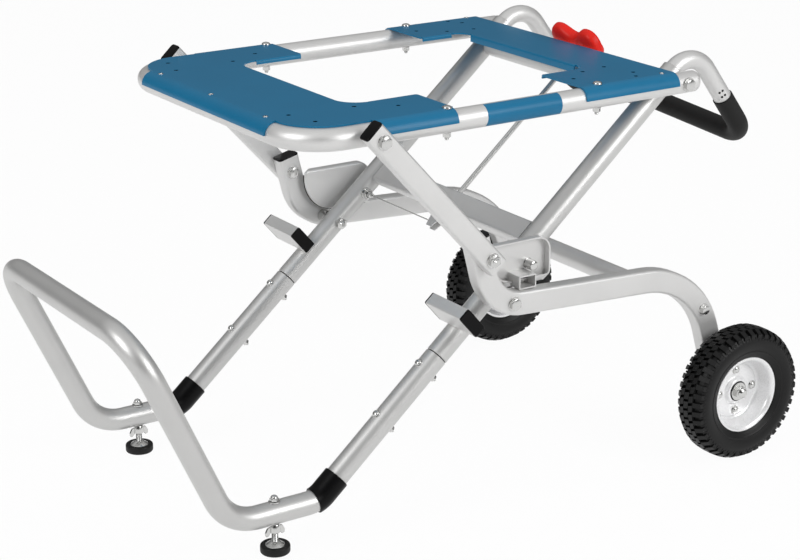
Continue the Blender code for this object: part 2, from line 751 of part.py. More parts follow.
def front_plate():
    front = table_x(FRAME_FRONT)
    well = front + FRONT_PLATE_DEPTH
    tip = well + FRONT_ARM
    skirt = LINK_TOP.x + SHOULDER_BOLT_R + SKIRT_CLEAR
    points = [(front, -RAIL_Y), (skirt, -RAIL_Y), (tip, -RAIL_Y), (tip, -WELL_HALF), (well, -WELL_HALF),
              (well, WELL_HALF), (tip, WELL_HALF), (tip, RAIL_Y), (skirt, RAIL_Y), (front, RAIL_Y)]
    radii = (FRAME_RADIUS, 0.0, 0.0, 0.0, WELL_RADIUS, WELL_RADIUS, 0.0, 0.0, 0.0, FRAME_RADIUS)
    outline, ends = rounded(points, radii)
    bend = RAIL_R + GAP
    item = plate("front_plate", outline, [
        (ends[1], -ACROSS, bend, 0.0), (ends[7], ACROSS, bend, 0.0), (ends[9], -LENGTHWISE, bend, 0.0)])
    side = RAIL_Y - SIDE_HOLE_IN
    arm = WELL_HALF + ARM_HOLE_IN
    drill_plate(item, [
        (front + SIDE_HOLE_BACK, side), (front + SIDE_HOLE_BACK + SIDE_HOLE_PITCH, side + SIDE_HOLE_STEP),
        (well + ARM_HOLE_PAST, arm), (well + ARM_HOLE_PAST + ARM_HOLE_PITCH, arm + ARM_HOLE_STEP)])


def rear_plate():
    edge = table_x(REAR_PLATE_EDGE)
    well = edge - REAR_PLATE_DEPTH
    tip = well - REAR_ARM
    points = [(tip, -RAIL_Y), (edge, -RAIL_Y), (edge, RAIL_Y), (tip, RAIL_Y),
              (tip, WELL_HALF), (well, WELL_HALF), (well, -WELL_HALF), (tip, -WELL_HALF)]
    radii = (0.0, 0.0, 0.0, 0.0, 0.0, REAR_WELL_RADIUS, REAR_WELL_RADIUS, 0.0)
    outline, ends = rounded(points, radii)
    bend = RAIL_R + GAP
    item = plate("rear_plate", outline, [
        (ends[0], -ACROSS, bend, 0.0), (ends[2], ACROSS, bend, 0.0),
        (ends[5], -LENGTHWISE, LIP_BEND, WELL_LIP)])
    first = well - REAR_HOLE_AHEAD
    inner = WELL_HALF + REAR_HOLE_IN
    last = edge - EDGE_HOLE_AHEAD
    outer = RAIL_Y - EDGE_HOLE_IN
    drill_plate(item, [
        (first, inner), (first + REAR_HOLE_PITCH, inner - REAR_HOLE_STEP),
        (well + CORNER_HOLE_BACK, WELL_HALF + CORNER_HOLE_IN),
        (last, outer), (last - EDGE_HOLE_PITCH, outer + EDGE_HOLE_STEP)])


def top_pivots():
    """The bolts that carry the top frame on the legs, and the links on the top frame."""
    hexa = hexagon(PIVOT_HEX, BOLT_SIDES)
    disc = circle(SHOULDER_BOLT_R, BOLT_SIDES)
    shank = circle(PIVOT_BOLT_R, BOLT_SIDES)
    rail_in = RAIL_Y - RAIL_R - GAP
    rail_out = RAIL_Y + RAIL_R + GAP
    for side, sign in SIDES:
        bm = bmesh.new()
        nut = LEG_IN - GAP
        spindle(bm, TABLE_PIVOT, sign, (hexa, nut - HEAD_H, nut), (shank, nut, LEG_OUT + GAP),
                (disc, LEG_OUT + GAP, rail_in), (shank, rail_in, rail_out),
                (hexa, rail_out, rail_out + HEAD_H))
        add("table_pivot_bolt_" + side, bm, STEEL, "top_frame")
        bm = bmesh.new()
        head = LINK_OUT + GAP
        spindle(bm, LINK_TOP, sign, (hexa, rail_in - HEAD_H, rail_in), (shank, rail_in, rail_out),
                (disc, rail_out, LINK_Y - GAP), (shank, LINK_Y - GAP, head), (hexa, head, head + HEAD_H))
        add("link_top_bolt_" + side, bm, STEEL, "top_frame")


# Links
def links():
    down = (LINK_FOOT - LINK_TOP).normalized()
    hexa = hexagon(PIVOT_HEX, BOLT_SIDES)
    shank = circle(PIVOT_BOLT_R, BOLT_SIDES)
    for side, sign in SIDES:
        body = "link_" + side
        middle = sign * (LINK_Y + LINK_W / 2)
        start = at_y(LINK_TOP - down * LINK_TOP_PAST, middle)
        end = at_y(LINK_FOOT + down * LINK_FOOT_PAST, middle)
        bm = bmesh.new()
        box_tube(bm, [start, end], LINK_W, LINK_H, LINK_WALL)
        reach = (LINK_Y - LINK_W, LINK_OUT + LINK_W)
        drill(add(body, bm, SILVER, body), body,
              [across_hole(point, sign, *reach, PIVOT_BOLT_R + BORE_GAP) for point in (LINK_TOP, LINK_FOOT)])
        bm = bmesh.new()
        cap(bm, start, -down, LINK_W, LINK_H, LINK_WALL)
        add("link_cap_" + side, bm, BLACK, body)
        bm = bmesh.new()
        face = LINK_OUT + GAP
        nut = face + HEAD_H
        spindle(bm, LINK_FOOT, sign, (shank, LINK_Y, face), (hexa, face, nut),
                (shank, nut, nut + PIVOT_BOLT_R))
        add("link_pin_" + side, bm, STEEL, body)


# Wheel arms
def arm_path(y):
    knee = ARM_PIVOT - Vector((KNEE_BACK, 0.0, 0.0))
    up = (LINK_FOOT - knee).normalized()
    top = LINK_FOOT + up * ARM_TOP_PAST
    shoulder = AXLE + Vector((-SHOULDER_BACK, 0.0, SHOULDER_RISE))
    down = (AXLE - shoulder).normalized()
    end = AXLE + down * ARM_END_PAST
    corners = [at_y(p, y) for p in (top, knee, shoulder, end)]
    return fillet(corners, (KNEE_RADIUS, SHOULDER_RADIUS)), up


def wheel_arms():
    for side, sign in SIDES:
        path, up = arm_path(sign * (ARM_Y + ARM_W / 2))
        bm = bmesh.new()
        box_tube(bm, path, ARM_W, ARM_H, ARM_WALL)
        item = add("wheel_arm_" + side, bm, SILVER, "wheel_arms")
        reach = (ARM_Y - ARM_W / 2, ARM_OUT + ARM_W / 2)
        drill(item, "wheel_arms", [across_hole(ARM_PIVOT, sign, *reach, PIVOT_BOLT_R + BORE_GAP),
                                   across_hole(AXLE, sign, *reach, AXLE_R + BORE_GAP)])
        bm = bmesh.new()
        cap(bm, path[0], up, ARM_W, ARM_H, ARM_WALL)
        add("arm_cap_" + side, bm, BLACK, "wheel_arms")


def pan_tray(name, outline, sign):
    """A flat sheet with an upright edge all round, open towards the arm."""
    bm = bmesh.new()
    web = bm.faces.new([bm.verts.new((x, sign * PAN_Y, z)) for x, z in outline])
    rim = bmesh.ops.extrude_edge_only(bm, edges=web.edges)
    moved = [item for item in rim["geom"] if isinstance(item, bmesh.types.BMVert)]
    bmesh.ops.translate(bm, verts=moved, vec=sign * ACROSS * (PAN_DEPTH - GAP))
    bmesh.ops.recalc_face_normals(bm, faces=bm.faces)
    if web.normal.y * sign < 0:
        bmesh.ops.reverse_faces(bm, faces=bm.faces)
    bmesh.ops.translate(bm, verts=bm.verts, vec=-BODIES["wheel_arms"])
    mesh = bpy.data.meshes.new(name)
    bm.to_mesh(mesh)
    bm.free()
    mesh.materials.append(SILVER)
    item = bpy.data.objects.new(name, mesh)
    item.parent = PARENTS["wheel_arms"]
    bpy.context.collection.objects.link(item)
    thicken = item.modifiers.new("sheet", "SOLIDIFY")
    thicken.thickness = PAN_SHEET
    thicken.offset = 1.0
    thicken.use_even_offset = True
    return item


def arm_pans():
    """A dished pan in the corner of each arm, with a socket welded into it."""
    left = ARM_PIVOT.x - KNEE_BACK - PAN_TUCK
    right = ARM_PIVOT.x + PAN_REACH
    top = ARM_PIVOT.z + PAN_RISE
    low = ARM_PIVOT.z - PAN_BELOW
    points = [(left, top), (right, top), (right, low), (ARM_PIVOT.x, low), (left, ARM_PIVOT.z + ARM_H)]
    outline, ends = rounded(points, (PAN_CORNER, PAN_RADIUS, PAN_CORNER, PAN_RADIUS, PAN_CORNER))
    socket_z = ARM_PIVOT.z + ARM_H / 2 - SOCKET_SUNK + SOCKET_H / 2
    socket = Vector((ARM_PIVOT.x + SOCKET_AHEAD, 0.0, socket_z))
    socket_out = flat_tube(SOCKET_W, SOCKET_H, SOCKET_CORNER)
    socket_in = flat_tube(SOCKET_W - 2 * TUBE_WALL, SOCKET_H - 2 * TUBE_WALL, SOCKET_CORNER / 2)
    base = PAN_Y + PAN_SHEET / 2
    reach = (PAN_Y - PAN_SHEET, PAN_Y + 2 * PAN_SHEET)
    for side, sign in SIDES:
        item = pan_tray("arm_pan_" + side, outline, sign)
        drill(item, "wheel_arms", [across_hole(ARM_PIVOT, sign, *reach, PIVOT_BOLT_R + BORE_GAP),
                                   across_hole(LOCK_PIN, sign, *reach, PIN_R + BORE_GAP)])
        ends = [at_y(socket, sign * base), at_y(socket, sign * (base + SOCKET_LENGTH))]
        bm = bmesh.new()
        sweep(bm, ends, socket_out, socket_in, LENGTHWISE)
        weld_on(item, bm, "wheel_arms")


def lock_keepers():
    """Capped sleeves on the pans, which take the lock pins."""
    web = PAN_Y + PAN_SHEET + GAP
    flange = circle(KEEPER_FLANGE_R, PIN_SIDES)
    sleeve = circle(KEEPER_R, PIN_SIDES)
    tip = circle(KEEPER_TIP_R, PIN_SIDES)
    for side, sign in SIDES:
        bm = bmesh.new()
        spindle(bm, LOCK_PIN, sign, (flange, web, web + KEEPER_FLANGE_T),
                (sleeve, web + KEEPER_FLANGE_T, web + KEEPER_L - KEEPER_NOSE),
                (tip, web + KEEPER_L, web + KEEPER_L + GAP))
        add("lock_keeper_" + side, bm, STEEL, "wheel_arms")


def weld_on(item, bm, body):
    """Join a built mesh to an object, as welding would."""
    piece = add("weld_" + item.name, bm, SILVER, body)
    piece.hide_render = True
    piece.display_type = "WIRE"
    join = item.modifiers.new("weld", "BOOLEAN")
    join.operation = "UNION"
    join.solver = "EXACT"
    join.object = piece


def arm_pivots():
    """The tube between the arms, the bolts that they turn on, and the axles."""
    shoulder = AXLE + Vector((-SHOULDER_BACK, 0.0, SHOULDER_RISE))
    knee = ARM_PIVOT - Vector((KNEE_BACK, 0.0, 0.0))
    place = AXLE.x - AXLE_TUBE_BACK
    level = knee.lerp(shoulder, (place - knee.x) / (shoulder.x - knee.x)).z
    half = ARM_Y - GAP
    bm = bmesh.new()
    round_tube(bm, [Vector((place, -half, level)), Vector((place, half, level))], AXLE_TUBE_D, first_axis=UP)
    add("arm_cross_tube", bm, SILVER, "wheel_arms")
    hexa = hexagon(PIVOT_HEX, BOLT_SIDES)
    disc = circle(SHOULDER_BOLT_R, BOLT_SIDES)
    shank = circle(PIVOT_BOLT_R, BOLT_SIDES)
    axle_hex = hexagon(AXLE_HEX, BOLT_SIDES)
    axle = circle(AXLE_R, BOLT_SIDES)
    spacer = circle(SPACER_R, BOLT_SIDES)
    hub_in = WHEEL_Y - HUB_BACK - GAP
    hub_out = WHEEL_Y - HUB_BACK + HUB_W + GAP
    for side, sign in SIDES:
        nut = LEG_IN - GAP
        head = ARM_OUT + GAP
        bm = bmesh.new()
        spindle(bm, ARM_PIVOT, sign, (hexa, nut - HEAD_H, nut), (shank, nut, LEG_OUT + GAP),
                (disc, LEG_OUT + GAP, PAN_Y - GAP), (shank, PAN_Y - GAP, head), (hexa, head, head + HEAD_H))
        add("arm_pivot_bolt_" + side, bm, STEEL)
        inner = ARM_Y - GAP
        bm = bmesh.new()
        spindle(bm, AXLE, sign, (axle_hex, inner - AXLE_NUT, inner), (axle, inner, head),
                (spacer, head, hub_in), (axle, hub_in, hub_out), (axle_hex, hub_out, hub_out + AXLE_NUT),
                (axle, hub_out + AXLE_NUT, hub_out + AXLE_NUT + AXLE_END))
        add("axle_" + side, bm, STEEL, "wheel_arms")


# Wheels
def wheel_ring(bm, centre, profile, steps, wave=None):
    """A closed profile of (radius, offset along Y) points, turned about the axle."""
    rings = []
    for i in range(steps):
        angle = 2 * math.pi * (i + 0.5) / steps - math.pi / 2
        ring = []
        for k, (radius, offset) in enumerate(profile):
            r = radius - (wave(i, k) if wave else 0.0)
            ring.append(centre + Vector((r * math.cos(angle), offset, r * math.sin(angle))))
        rings.append(ring)
    loft(bm, rings, closed=True)


def tread(step, point):
    """How far a point of the tyre's profile sinks at a step round it."""
    crown = (3, 4)
    edge = (2, 5)
    if (step + point) % 2 == 0:
        return 0.0
    if point in crown:
        return TREAD_DEPTH
    return EDGE_DEPTH if point in edge else 0.0


def wheels():
    half = TYRE_W / 2
    tyre_side = [(RIM_R + GAP, RIM_HALF), (SIDEWALL_R, half), (SHOULDER_R, SHOULDER_HALF),
                 (WHEEL_R, CROWN_HALF)]
    tyre = [(radius, -offset) for radius, offset in tyre_side] + tyre_side[::-1]
    dish = RIM_R - RIM_SLOPE
    edge = RIM_R - RIM_LIP
    web_in = -WEB_BACK - WEB_T / 2
    web_out = -WEB_BACK + WEB_T / 2
    hub_in = -HUB_BACK
    hub_out = hub_in + HUB_W
    bore = BEARING_R + GAP
    rim = [(RIM_R, -RIM_HALF), (RIM_R, RIM_HALF), (edge, RIM_HALF), (dish, web_out), (HUB_R, web_out),
           (HUB_R, hub_out), (bore, hub_out), (bore, hub_in), (HUB_R, hub_in), (HUB_R, web_in),
           (dish, web_in), (edge, -RIM_HALF)]
    inside = AXLE_R + BORE_GAP
    bearing = [(BEARING_R, hub_in), (BEARING_R, hub_out), (inside, hub_out), (inside, hub_in)]
    for side, sign in SIDES:
        body = "wheel_" + side
        for name, profile, steps, wave, material in (
                ("tyre_", tyre, 2 * TREAD_LUGS, tread, RUBBER), ("rim_", rim, RIM_STEPS, None, RIM_GREY),
                ("wheel_bearing_", bearing, BOLT_SIDES, None, STEEL)):
            bm = bmesh.new()
            wheel_ring(bm, BODIES[body], [(radius, sign * offset) for radius, offset in profile], steps, wave)
            add(name + side, bm, material, body)


# Feet
def feet():
    pad_edge = circle(PAD_R - PAD_EDGE, BOLT_SIDES)
    pad = circle(PAD_R, BOLT_SIDES)
    cup = circle(CUP_R, BOLT_SIDES)
    flange = circle(CUP_R - CUP_PLAY, BOLT_SIDES)
    stud = circle(STUD_R, BOLT_SIDES)
    seat = PAD_H - CUP_DEPTH + GAP
    for side, sign in SIDES:
        place = Vector((FOOT_X, sign * LEG_Y, 0.0))
        bm = bmesh.new()
        turned(bm, place, UP, [(0.0, pad_edge), (PAD_EDGE, pad), (PAD_H - PAD_EDGE, pad), (PAD_H, pad_edge),
                               (PAD_H, cup), (PAD_H - CUP_DEPTH, cup)])
        add("foot_pad_" + side, bm, RUBBER, "foot_" + side)
        bm = bmesh.new()
        turned(bm, place, UP, [(seat, flange), (seat + FLANGE_T, flange),
                               (seat + NECK_RISE, circle(NECK_R, BOLT_SIDES)), (seat + THREAD_RISE, stud),
                               (FOOT_STACK + STUD_BURIED, stud)])
        add("foot_stud_" + side, bm, STEEL, "foot_" + side)
        wing_nut(side, place)


def wing_nut(side, place):
    """A locking nut under the tube, with two wings that flare downwards."""
    body = "wing_nut_" + side
    top = FOOT_STACK - GAP
    low = top - WING_HUB_H
    hole = circle(STUD_R + BORE_GAP, BOLT_SIDES)
    bm = bmesh.new()
    turned(bm, place, UP, [(low, circle(WING_HUB_R, BOLT_SIDES)), (top, circle(WING_TOP_R, BOLT_SIDES)),
                           (top, hole), (low, hole)], closed=True)
    nut = add(body, bm, STEEL, body)
    root = (STUD_R + WING_HUB_R) / 2
    shape = [(root, top - WING_ROOT), (WING_SHOULDER, top - WING_DROP), (WING_SPAN, top - WING_H),
             (WING_TOE, top - WING_H), (root, low + GAP)]
    bm = bmesh.new()
    for way in (-1, 1):
        loft(bm, [[place + Vector((way * x, y, z)) for x, z in shape] for y in (-WING_T / 2, WING_T / 2)])
    weld_on(nut, bm, body)


# Release gear
def pull_handle():
    """A two-lobed handle, thicker towards its ends than at its middle."""
    rings = []
    for i in range(PULL_STATIONS + 1):
        t = -1 + 2 * i / PULL_STATIONS
        swell = math.sin(math.pi / 2 * min(abs(t) / PULL_LOBE, 1.0)) ** 2
        past = max(0.0, (abs(t) - PULL_LOBE) / (1 - PULL_LOBE))
        taper = math.sqrt(1 - (1 - PULL_TIP ** 2) * past ** 2)
        size = (PULL_WAIST + (1 - PULL_WAIST) * swell) * taper
        middle = PULL + ACROSS * (PULL_HALF * t)
        rings.append([middle + LEG_ALONG * (PULL_THICK * size * a) + LEG_ACROSS * (PULL_TALL * size * b)
                      for a, b in circle(1.0, BOLT_SIDES)])
    bm = bmesh.new()
    loft(bm, rings)
    item = add("pull_handle", bm, RED, "release_pull", 50.0)
    socket = (leg_point(PULL_AT - 2 * PULL_THICK), leg_point(PULL_AT + GAP), ROD_R + GAP)
    drill(item, "release_pull", [socket])


def release_rod_and_block():
    """The rod from the pull handle, and the block in which it meets the wires of the lock pins."""
    rod_end = LOCK_PIN_AT + 3 * WIRE_R + 2 * GAP
    rod = circle(ROD_R, PIN_SIDES)
    bm = bmesh.new()
    turned(bm, leg_point(0.0), LEG_ALONG, [(rod_end + GAP, rod), (PULL_AT, rod)])
    add("release_rod", bm, STEEL, "release_pull")

    low = LOCK_PIN_AT - BLOCK_BELOW
    high = CROSS_MEMBER_AT - MEMBER_ALONG / 2 - GAP
    loop = flat_tube(2 * BLOCK_HALF, BLOCK_THICK, BLOCK_CORNER)
    bm = bmesh.new()
    loft(bm, [[leg_point(at, q, p) for p, q in loop] for at in (low, high)])
    block = add("release_block", bm, SILVER)
    wire_ends = [leg_point(LOCK_PIN_AT, 0.0, way * 2 * BLOCK_HALF) for way in (-1, 1)]
    drill(block, "base_frame", [(leg_point(rod_end), leg_point(high + BLOCK_THICK), ROD_R + BORE_GAP),
                                (*wire_ends, WIRE_R + GAP)])


def lock_pins():
    """Pins through the legs, each with its pull wire."""
    pin = circle(PIN_R, PIN_SIDES)
    wire = circle(WIRE_R, PIN_SIDES)
    eye = circle(PIN_EYE_R, PIN_SIDES)
    tip = circle(PIN_TIP_R, PIN_SIDES)
    nose = PAN_Y - GAP
    tail = LEG_IN - PIN_TAIL
    for side, sign in SIDES:
        bm = bmesh.new()
        spindle(bm, LOCK_PIN, sign, (wire, WIRE_END, tail - PIN_R), (eye, tail - PIN_R, tail),
                (pin, tail, nose - PIN_NOSE), (tip, nose - GAP, nose))
        add("lock_pin_" + side, bm, STEEL, "lock_pin_" + side)


base_loop()
leg_collars()
lower_legs()
upper_legs()
rest_blocks()
cross_members()
handle()
top_tube()
front_plate()
rear_plate()
top_pivots()
links()
wheel_arms()
arm_pans()
lock_keepers()
arm_pivots()
wheels()
feet()
pull_handle()
release_rod_and_block()
lock_pins()
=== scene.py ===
"""Looks of the folding saw stand: smooth tubes, coated sheet, treaded tyres and small fasteners.

Metres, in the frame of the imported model. X runs along the stand, towards the handle and the wheels, Y runs
across it, and the left side is -Y.
"""
import json
import math

import bmesh
import bpy
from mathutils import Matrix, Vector

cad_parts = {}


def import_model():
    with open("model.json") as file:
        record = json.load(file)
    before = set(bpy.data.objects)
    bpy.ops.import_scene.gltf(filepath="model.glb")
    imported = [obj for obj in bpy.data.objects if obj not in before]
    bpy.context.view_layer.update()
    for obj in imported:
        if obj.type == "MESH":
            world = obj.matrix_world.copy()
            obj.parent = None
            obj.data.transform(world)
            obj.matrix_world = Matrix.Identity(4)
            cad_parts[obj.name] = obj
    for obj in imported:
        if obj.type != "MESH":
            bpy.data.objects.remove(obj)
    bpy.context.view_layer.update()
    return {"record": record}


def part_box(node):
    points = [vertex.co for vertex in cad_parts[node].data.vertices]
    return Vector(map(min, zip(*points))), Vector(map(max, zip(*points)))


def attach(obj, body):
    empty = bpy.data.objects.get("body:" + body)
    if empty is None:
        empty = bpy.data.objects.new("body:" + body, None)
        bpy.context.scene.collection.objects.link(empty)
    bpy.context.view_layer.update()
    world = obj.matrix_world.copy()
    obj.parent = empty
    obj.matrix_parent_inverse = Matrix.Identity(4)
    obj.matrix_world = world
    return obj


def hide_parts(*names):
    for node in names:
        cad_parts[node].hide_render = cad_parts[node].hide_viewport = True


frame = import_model()

# The photograph's view
CAMERA_PLACE = (-1.58637, -2.43572, 1.26782)
CAMERA_DIP = math.radians(18.73)
CAMERA_TURN = math.radians(-33.47)
CAMERA_LENS = 90.1
CAMERA_SENSOR = 36.0

# Studio; the sky's levels go from the horizon to overhead
LIGHTS = (("key", (-3.7, -0.6, 2.6), 78.0), ("fill", (1.5, -3.7, 2.2), 92.0))
LIGHT_AIM = Vector((0.0, 0.0, 0.3))
LIGHT_SIZE = 2.0
SKY_LEVELS = ((0.002, 0.12), (0.36, 0.16), (0.9, 0.7))
VIEWER = (math.sin(CAMERA_TURN) * math.cos(CAMERA_DIP), -math.cos(CAMERA_TURN) * math.cos(CAMERA_DIP),
          math.sin(CAMERA_DIP))
VIEWER_LEVEL = 0.01
VIEWER_INNER = math.radians(16)
VIEWER_OUTER = math.radians(34)
FLOOR_REACH = 30.0
FLOOR_DROP = 0.0004
FLOOR_TONE = 0.86
FLOOR_SHARE = 0.96

# Fineness of round forms
ROUND = 72
RUN_STEP = 0.04
BEND_STEP = math.radians(5.0)
CORNER_STEPS = 5

SIDES = (("left", -1), ("right", 1))
LENGTHWISE = Vector((1.0, 0.0, 0.0))
ACROSS = Vector((0.0, 1.0, 0.0))
UP = Vector((0.0, 0.0, 1.0))


# Places and sizes that come from the frame
def centre(node):
    low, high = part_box(node)
    return (low + high) / 2


def extent(node):
    low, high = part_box(node)
    return high - low


def at_y(point, y):
    return Vector((point.x, y, point.z))


def pivot(joint):
    return at_y(Vector(JOINTS[joint]["pos_m"]), 0.0)


JOINTS = {joint["name"]: joint for joint in frame["record"]["behaviour"]["joints"]}
LEG_ALONG = Vector(JOINTS["release_slide"]["axis"]).normalized()
LEG_ACROSS = Vector((-LEG_ALONG.z, 0.0, LEG_ALONG.x))
TABLE_PIVOT = pivot("table_fold")
ARM_PIVOT = pivot("arm_fold")
LINK_TOP = pivot("link_swing_left")
AXLE = pivot("wheel_spin_left")
WHEEL_Y = abs(JOINTS["wheel_spin_left"]["pos_m"][1])
FOOT = pivot("wing_nut_turn_left")
LINK_FOOT = at_y(centre("link_pin_left"), 0.0)
LOCK_PIN = at_y(centre("lock_keeper_left"), 0.0)
LEG_Y = abs(centre("lower_leg_left").y)
RAIL_Y = abs(centre("rail_end_plug_left").y)
LEG_R = extent("lower_leg_left").y / 2
RAIL_R = extent("rail_end_plug_left").y / 2
LEG_IN = LEG_Y - LEG_R
LEG_OUT = LEG_Y + LEG_R
ARM_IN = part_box("wheel_arm_right")[0].y
ARM_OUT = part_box("wheel_arm_right")[1].y
LINK_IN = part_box("link_right")[0].y
LINK_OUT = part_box("link_right")[1].y
PAN_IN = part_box("arm_pan_right")[0].y
PLATE_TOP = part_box("rear_plate")[1].z
WHEEL_R = AXLE.z
TYRE_HALF = extent("tyre_left").y / 2

# Base loop and legs; distances along the leg start at the heel
ARM_PIVOT_AT = 0.3922
HEEL = ARM_PIVOT - LEG_ALONG * ARM_PIVOT_AT
BASE_RUN = 0.1417
RISER_LEAN = math.radians(24.4)
RISER_HEIGHT = 0.2926
HEEL_RADIUS = 0.04
TOE_RADIUS = 0.07
CROWN_RADIUS = 0.07
COLLAR_TOP = 0.045
COLLAR_LENGTH = 0.048
COLLAR_WALL = 0.0026
LEG_BUTT = 0.028
LEG_SEAM = 0.2708
SEAM_GAP = 0.0014
LEG_TOP = 0.8335
LEG_WALL = 0.0027
LEG_BOLTS = (0.1485, 0.2443)
REST_BLOCK_AT = 0.3262
REST_ALONG = 0.02
REST_TALL = 0.043
REST_CAP = 0.003
LOCK_PIN_AT = 0.4576
CROSS_MEMBER_AT = 0.5
CROSS_MEMBER_WIDE = 0.036
CROSS_MEMBER_TALL = 0.02
CROSS_TUBE_AT = 0.782
CROSS_TUBE_R = 0.014

# Release gear
PULL_AT = 0.8275
PULL_LIFT = 0.012
PULL_LEAN = 0.18
PULL_LOBE = 0.56
PULL_VALLEY = 0.6
PULL_TALL = 0.0255
PULL_SWELL = 0.003
PULL_THICK = 0.0112
ROD_R = 0.004
WIRE_R = 0.001
PIN_R = 0.0049
FORK_LIFT = 0.0051
FORK_SHEET = 0.0018
FORK_TIP = 0.014
FORK_ROOT = 0.036
FORK_TALL = 0.012

# Handle
HANDLE_R = 0.014
TABLE_PIVOT_AT = 0.816
HANDLE_BUTT = 0.0066
HANDLE_DROP = math.radians(53.0)
HOOK_RISE = 0.066
HOOK_RADIUS = 0.045
HANDLE_REACH = 0.197
GRIP_START = 0.108
GRIP_RADIUS = 0.034
GRIP_BOW = 0.03
BOW_RADIUS = 0.12
GRIP_WALL = 0.0019

# Top frame and plates
RAIL_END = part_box("top_tube")[1].x
FRONT_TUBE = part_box("top_tube")[0].x + RAIL_R
FRAME_RADIUS = 0.068
SHEET = 0.0025
SKIRT_START = LINK_TOP.x + 0.0115
FRONT_WELL = FRONT_TUBE + 0.127
FRONT_TIP = FRONT_WELL + 0.115
REAR_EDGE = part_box("rear_plate")[1].x
REAR_WELL = REAR_EDGE - 0.09
REAR_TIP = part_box("rear_plate")[0].x
WELL_HALF = 0.158
WELL_RADIUS = 0.035
REAR_WELL_RADIUS = 0.025
WELL_LIP = 0.008
SIDE_LIP = 0.003
LIP_BEND = 0.001
RAIL_BEND = RAIL_R + 0.0003
TIP_RADIUS = 0.003
HOLE_R = 0.0035
FRONT_HOLES = ((FRONT_TUBE + 0.03, RAIL_Y - 0.085), (FRONT_TUBE + 0.042, RAIL_Y - 0.035),
               (FRONT_WELL + 0.0026, WELL_HALF + 0.013), (FRONT_WELL + 0.0566, WELL_HALF + 0.041))
REAR_HOLES = ((REAR_WELL - 0.06, WELL_HALF + 0.046), (REAR_WELL - 0.02, WELL_HALF + 0.017),
              (REAR_WELL + 0.0266, WELL_HALF + 0.009), (REAR_EDGE - 0.05, RAIL_Y - 0.03),
              (REAR_EDGE - 0.063, RAIL_Y - 0.008))
RAIL_BOLTS = (-0.0631, 0.1994)
RAIL_SCREW = 0.3198
FRONT_SCREWS = (-0.1537, 0.0, 0.1537)
BAND_START = -0.0044
BAND_END = 0.1246
BAND_LOW = math.radians(-56)
BAND_HIGH = math.radians(82)

# Wheel arms, pans and links
ARM_H = 0.036
KNEE_BACK = 0.034
KNEE_RADIUS = 0.07
ARM_TOP_PAST = 0.025
SHOULDER_BACK = 0.0563
SHOULDER_RISE = 0.1903
SHOULDER_RADIUS = 0.143
ARM_END_PAST = 0.02
FLAT_CORNER = 0.0045
FLAT_WALL = 0.002
LINK_H = 0.032
LINK_TOP_PAST = 0.02
LINK_FOOT_PAST = 0.018
PAN_SHEET = 0.003
PAN_RISE = 0.004
PAN_ABOVE_PIVOT = 0.012
PAN_CORNER = 0.058
PAN_TUCK = 0.01
# Radius of the black bead that paints the shade along each pan's edge
PAN_SHADE_R = 0.0012
ARM_BOLT = Vector((0.4006, 0.0, 0.238))
ARM_TIE_R = 0.015

# Wheels
RIM_R = 0.06
RIM_HALF = 0.019
TREAD_LUGS = 44
RIM_BOLT_AT = 0.034
HUB_BACK = 0.028
HUB_OUT = 0.002

# Walls and fasteners; what is fixed to a tube sinks a little into it
TUBE_WALL = 0.002
FIT = 0.0001
WELD_SINK = 0.0006
WASHER_SINK = 0.0008
SPACER_SINK = 0.0003
BOLT_SINK = 0.0004
PIVOT_HEX = 0.016
PIVOT_WASHER = 0.0105
PIVOT_BOLT_R = 0.005
PIVOT_NUT_H = 0.0068
HEAD_H = 0.0065
DISC = 0.0015

# Washers and round heads: radius and height; nuts: flats, height, and their thread's radius and length
LEG_WASHER = (0.0065, 0.0016)
LEG_HEAD = (0.0055, 0.0042)
LEG_NUT = (0.01, 0.005, 0.0029, 0.003)
FOOT_WASHER = (0.0085, 0.0018)
FOOT_DOME = (0.0054, 0.0052)
RAIL_WASHER = (0.0062, 0.0016)
RAIL_HEAD = (0.0068, 0.0042)
RAIL_NUT = (0.01, 0.0055, 0.003, 0.003)
ARM_NUT = (0.013, 0.0055, 0.004, 0.002)
RIM_WASHER = (0.0072, 0.0012)
RIM_HEAD = (0.0058, 0.004)
AXLE_WASHER = (0.0145, 0.0018)
AXLE_NUT = (0.019, 0.007, 0.0072, 0.004)


def leg_point(along, above=0.0, y=0.0):
    return at_y(HEEL + LEG_ALONG * along + LEG_ACROSS * above, y)


# Finishes
def feed(node, inputs):
    """Give a node's inputs their values, or link them to other nodes' outputs."""
    for name, value in inputs.items():
        if isinstance(value, bpy.types.NodeSocket):
            node.id_data.links.new(value, node.inputs[name])
        else:
            node.inputs[name].default_value = value


def add(tree, kind, inputs, operation=""):
    node = tree.nodes.new("ShaderNode" + kind)
    if operation:
        node.operation = operation
    feed(node, inputs)
    return node


def grey(level):
    return (level, level, level, 1.0)


def mixed(tree, factor, a, b):
    """A mix of two colours."""
    mix = tree.nodes.new("ShaderNodeMix")
    mix.data_type = "RGBA"
    feed(mix, {"Factor": factor, "A": a, "B": b})
    return mix.outputs["Result"]


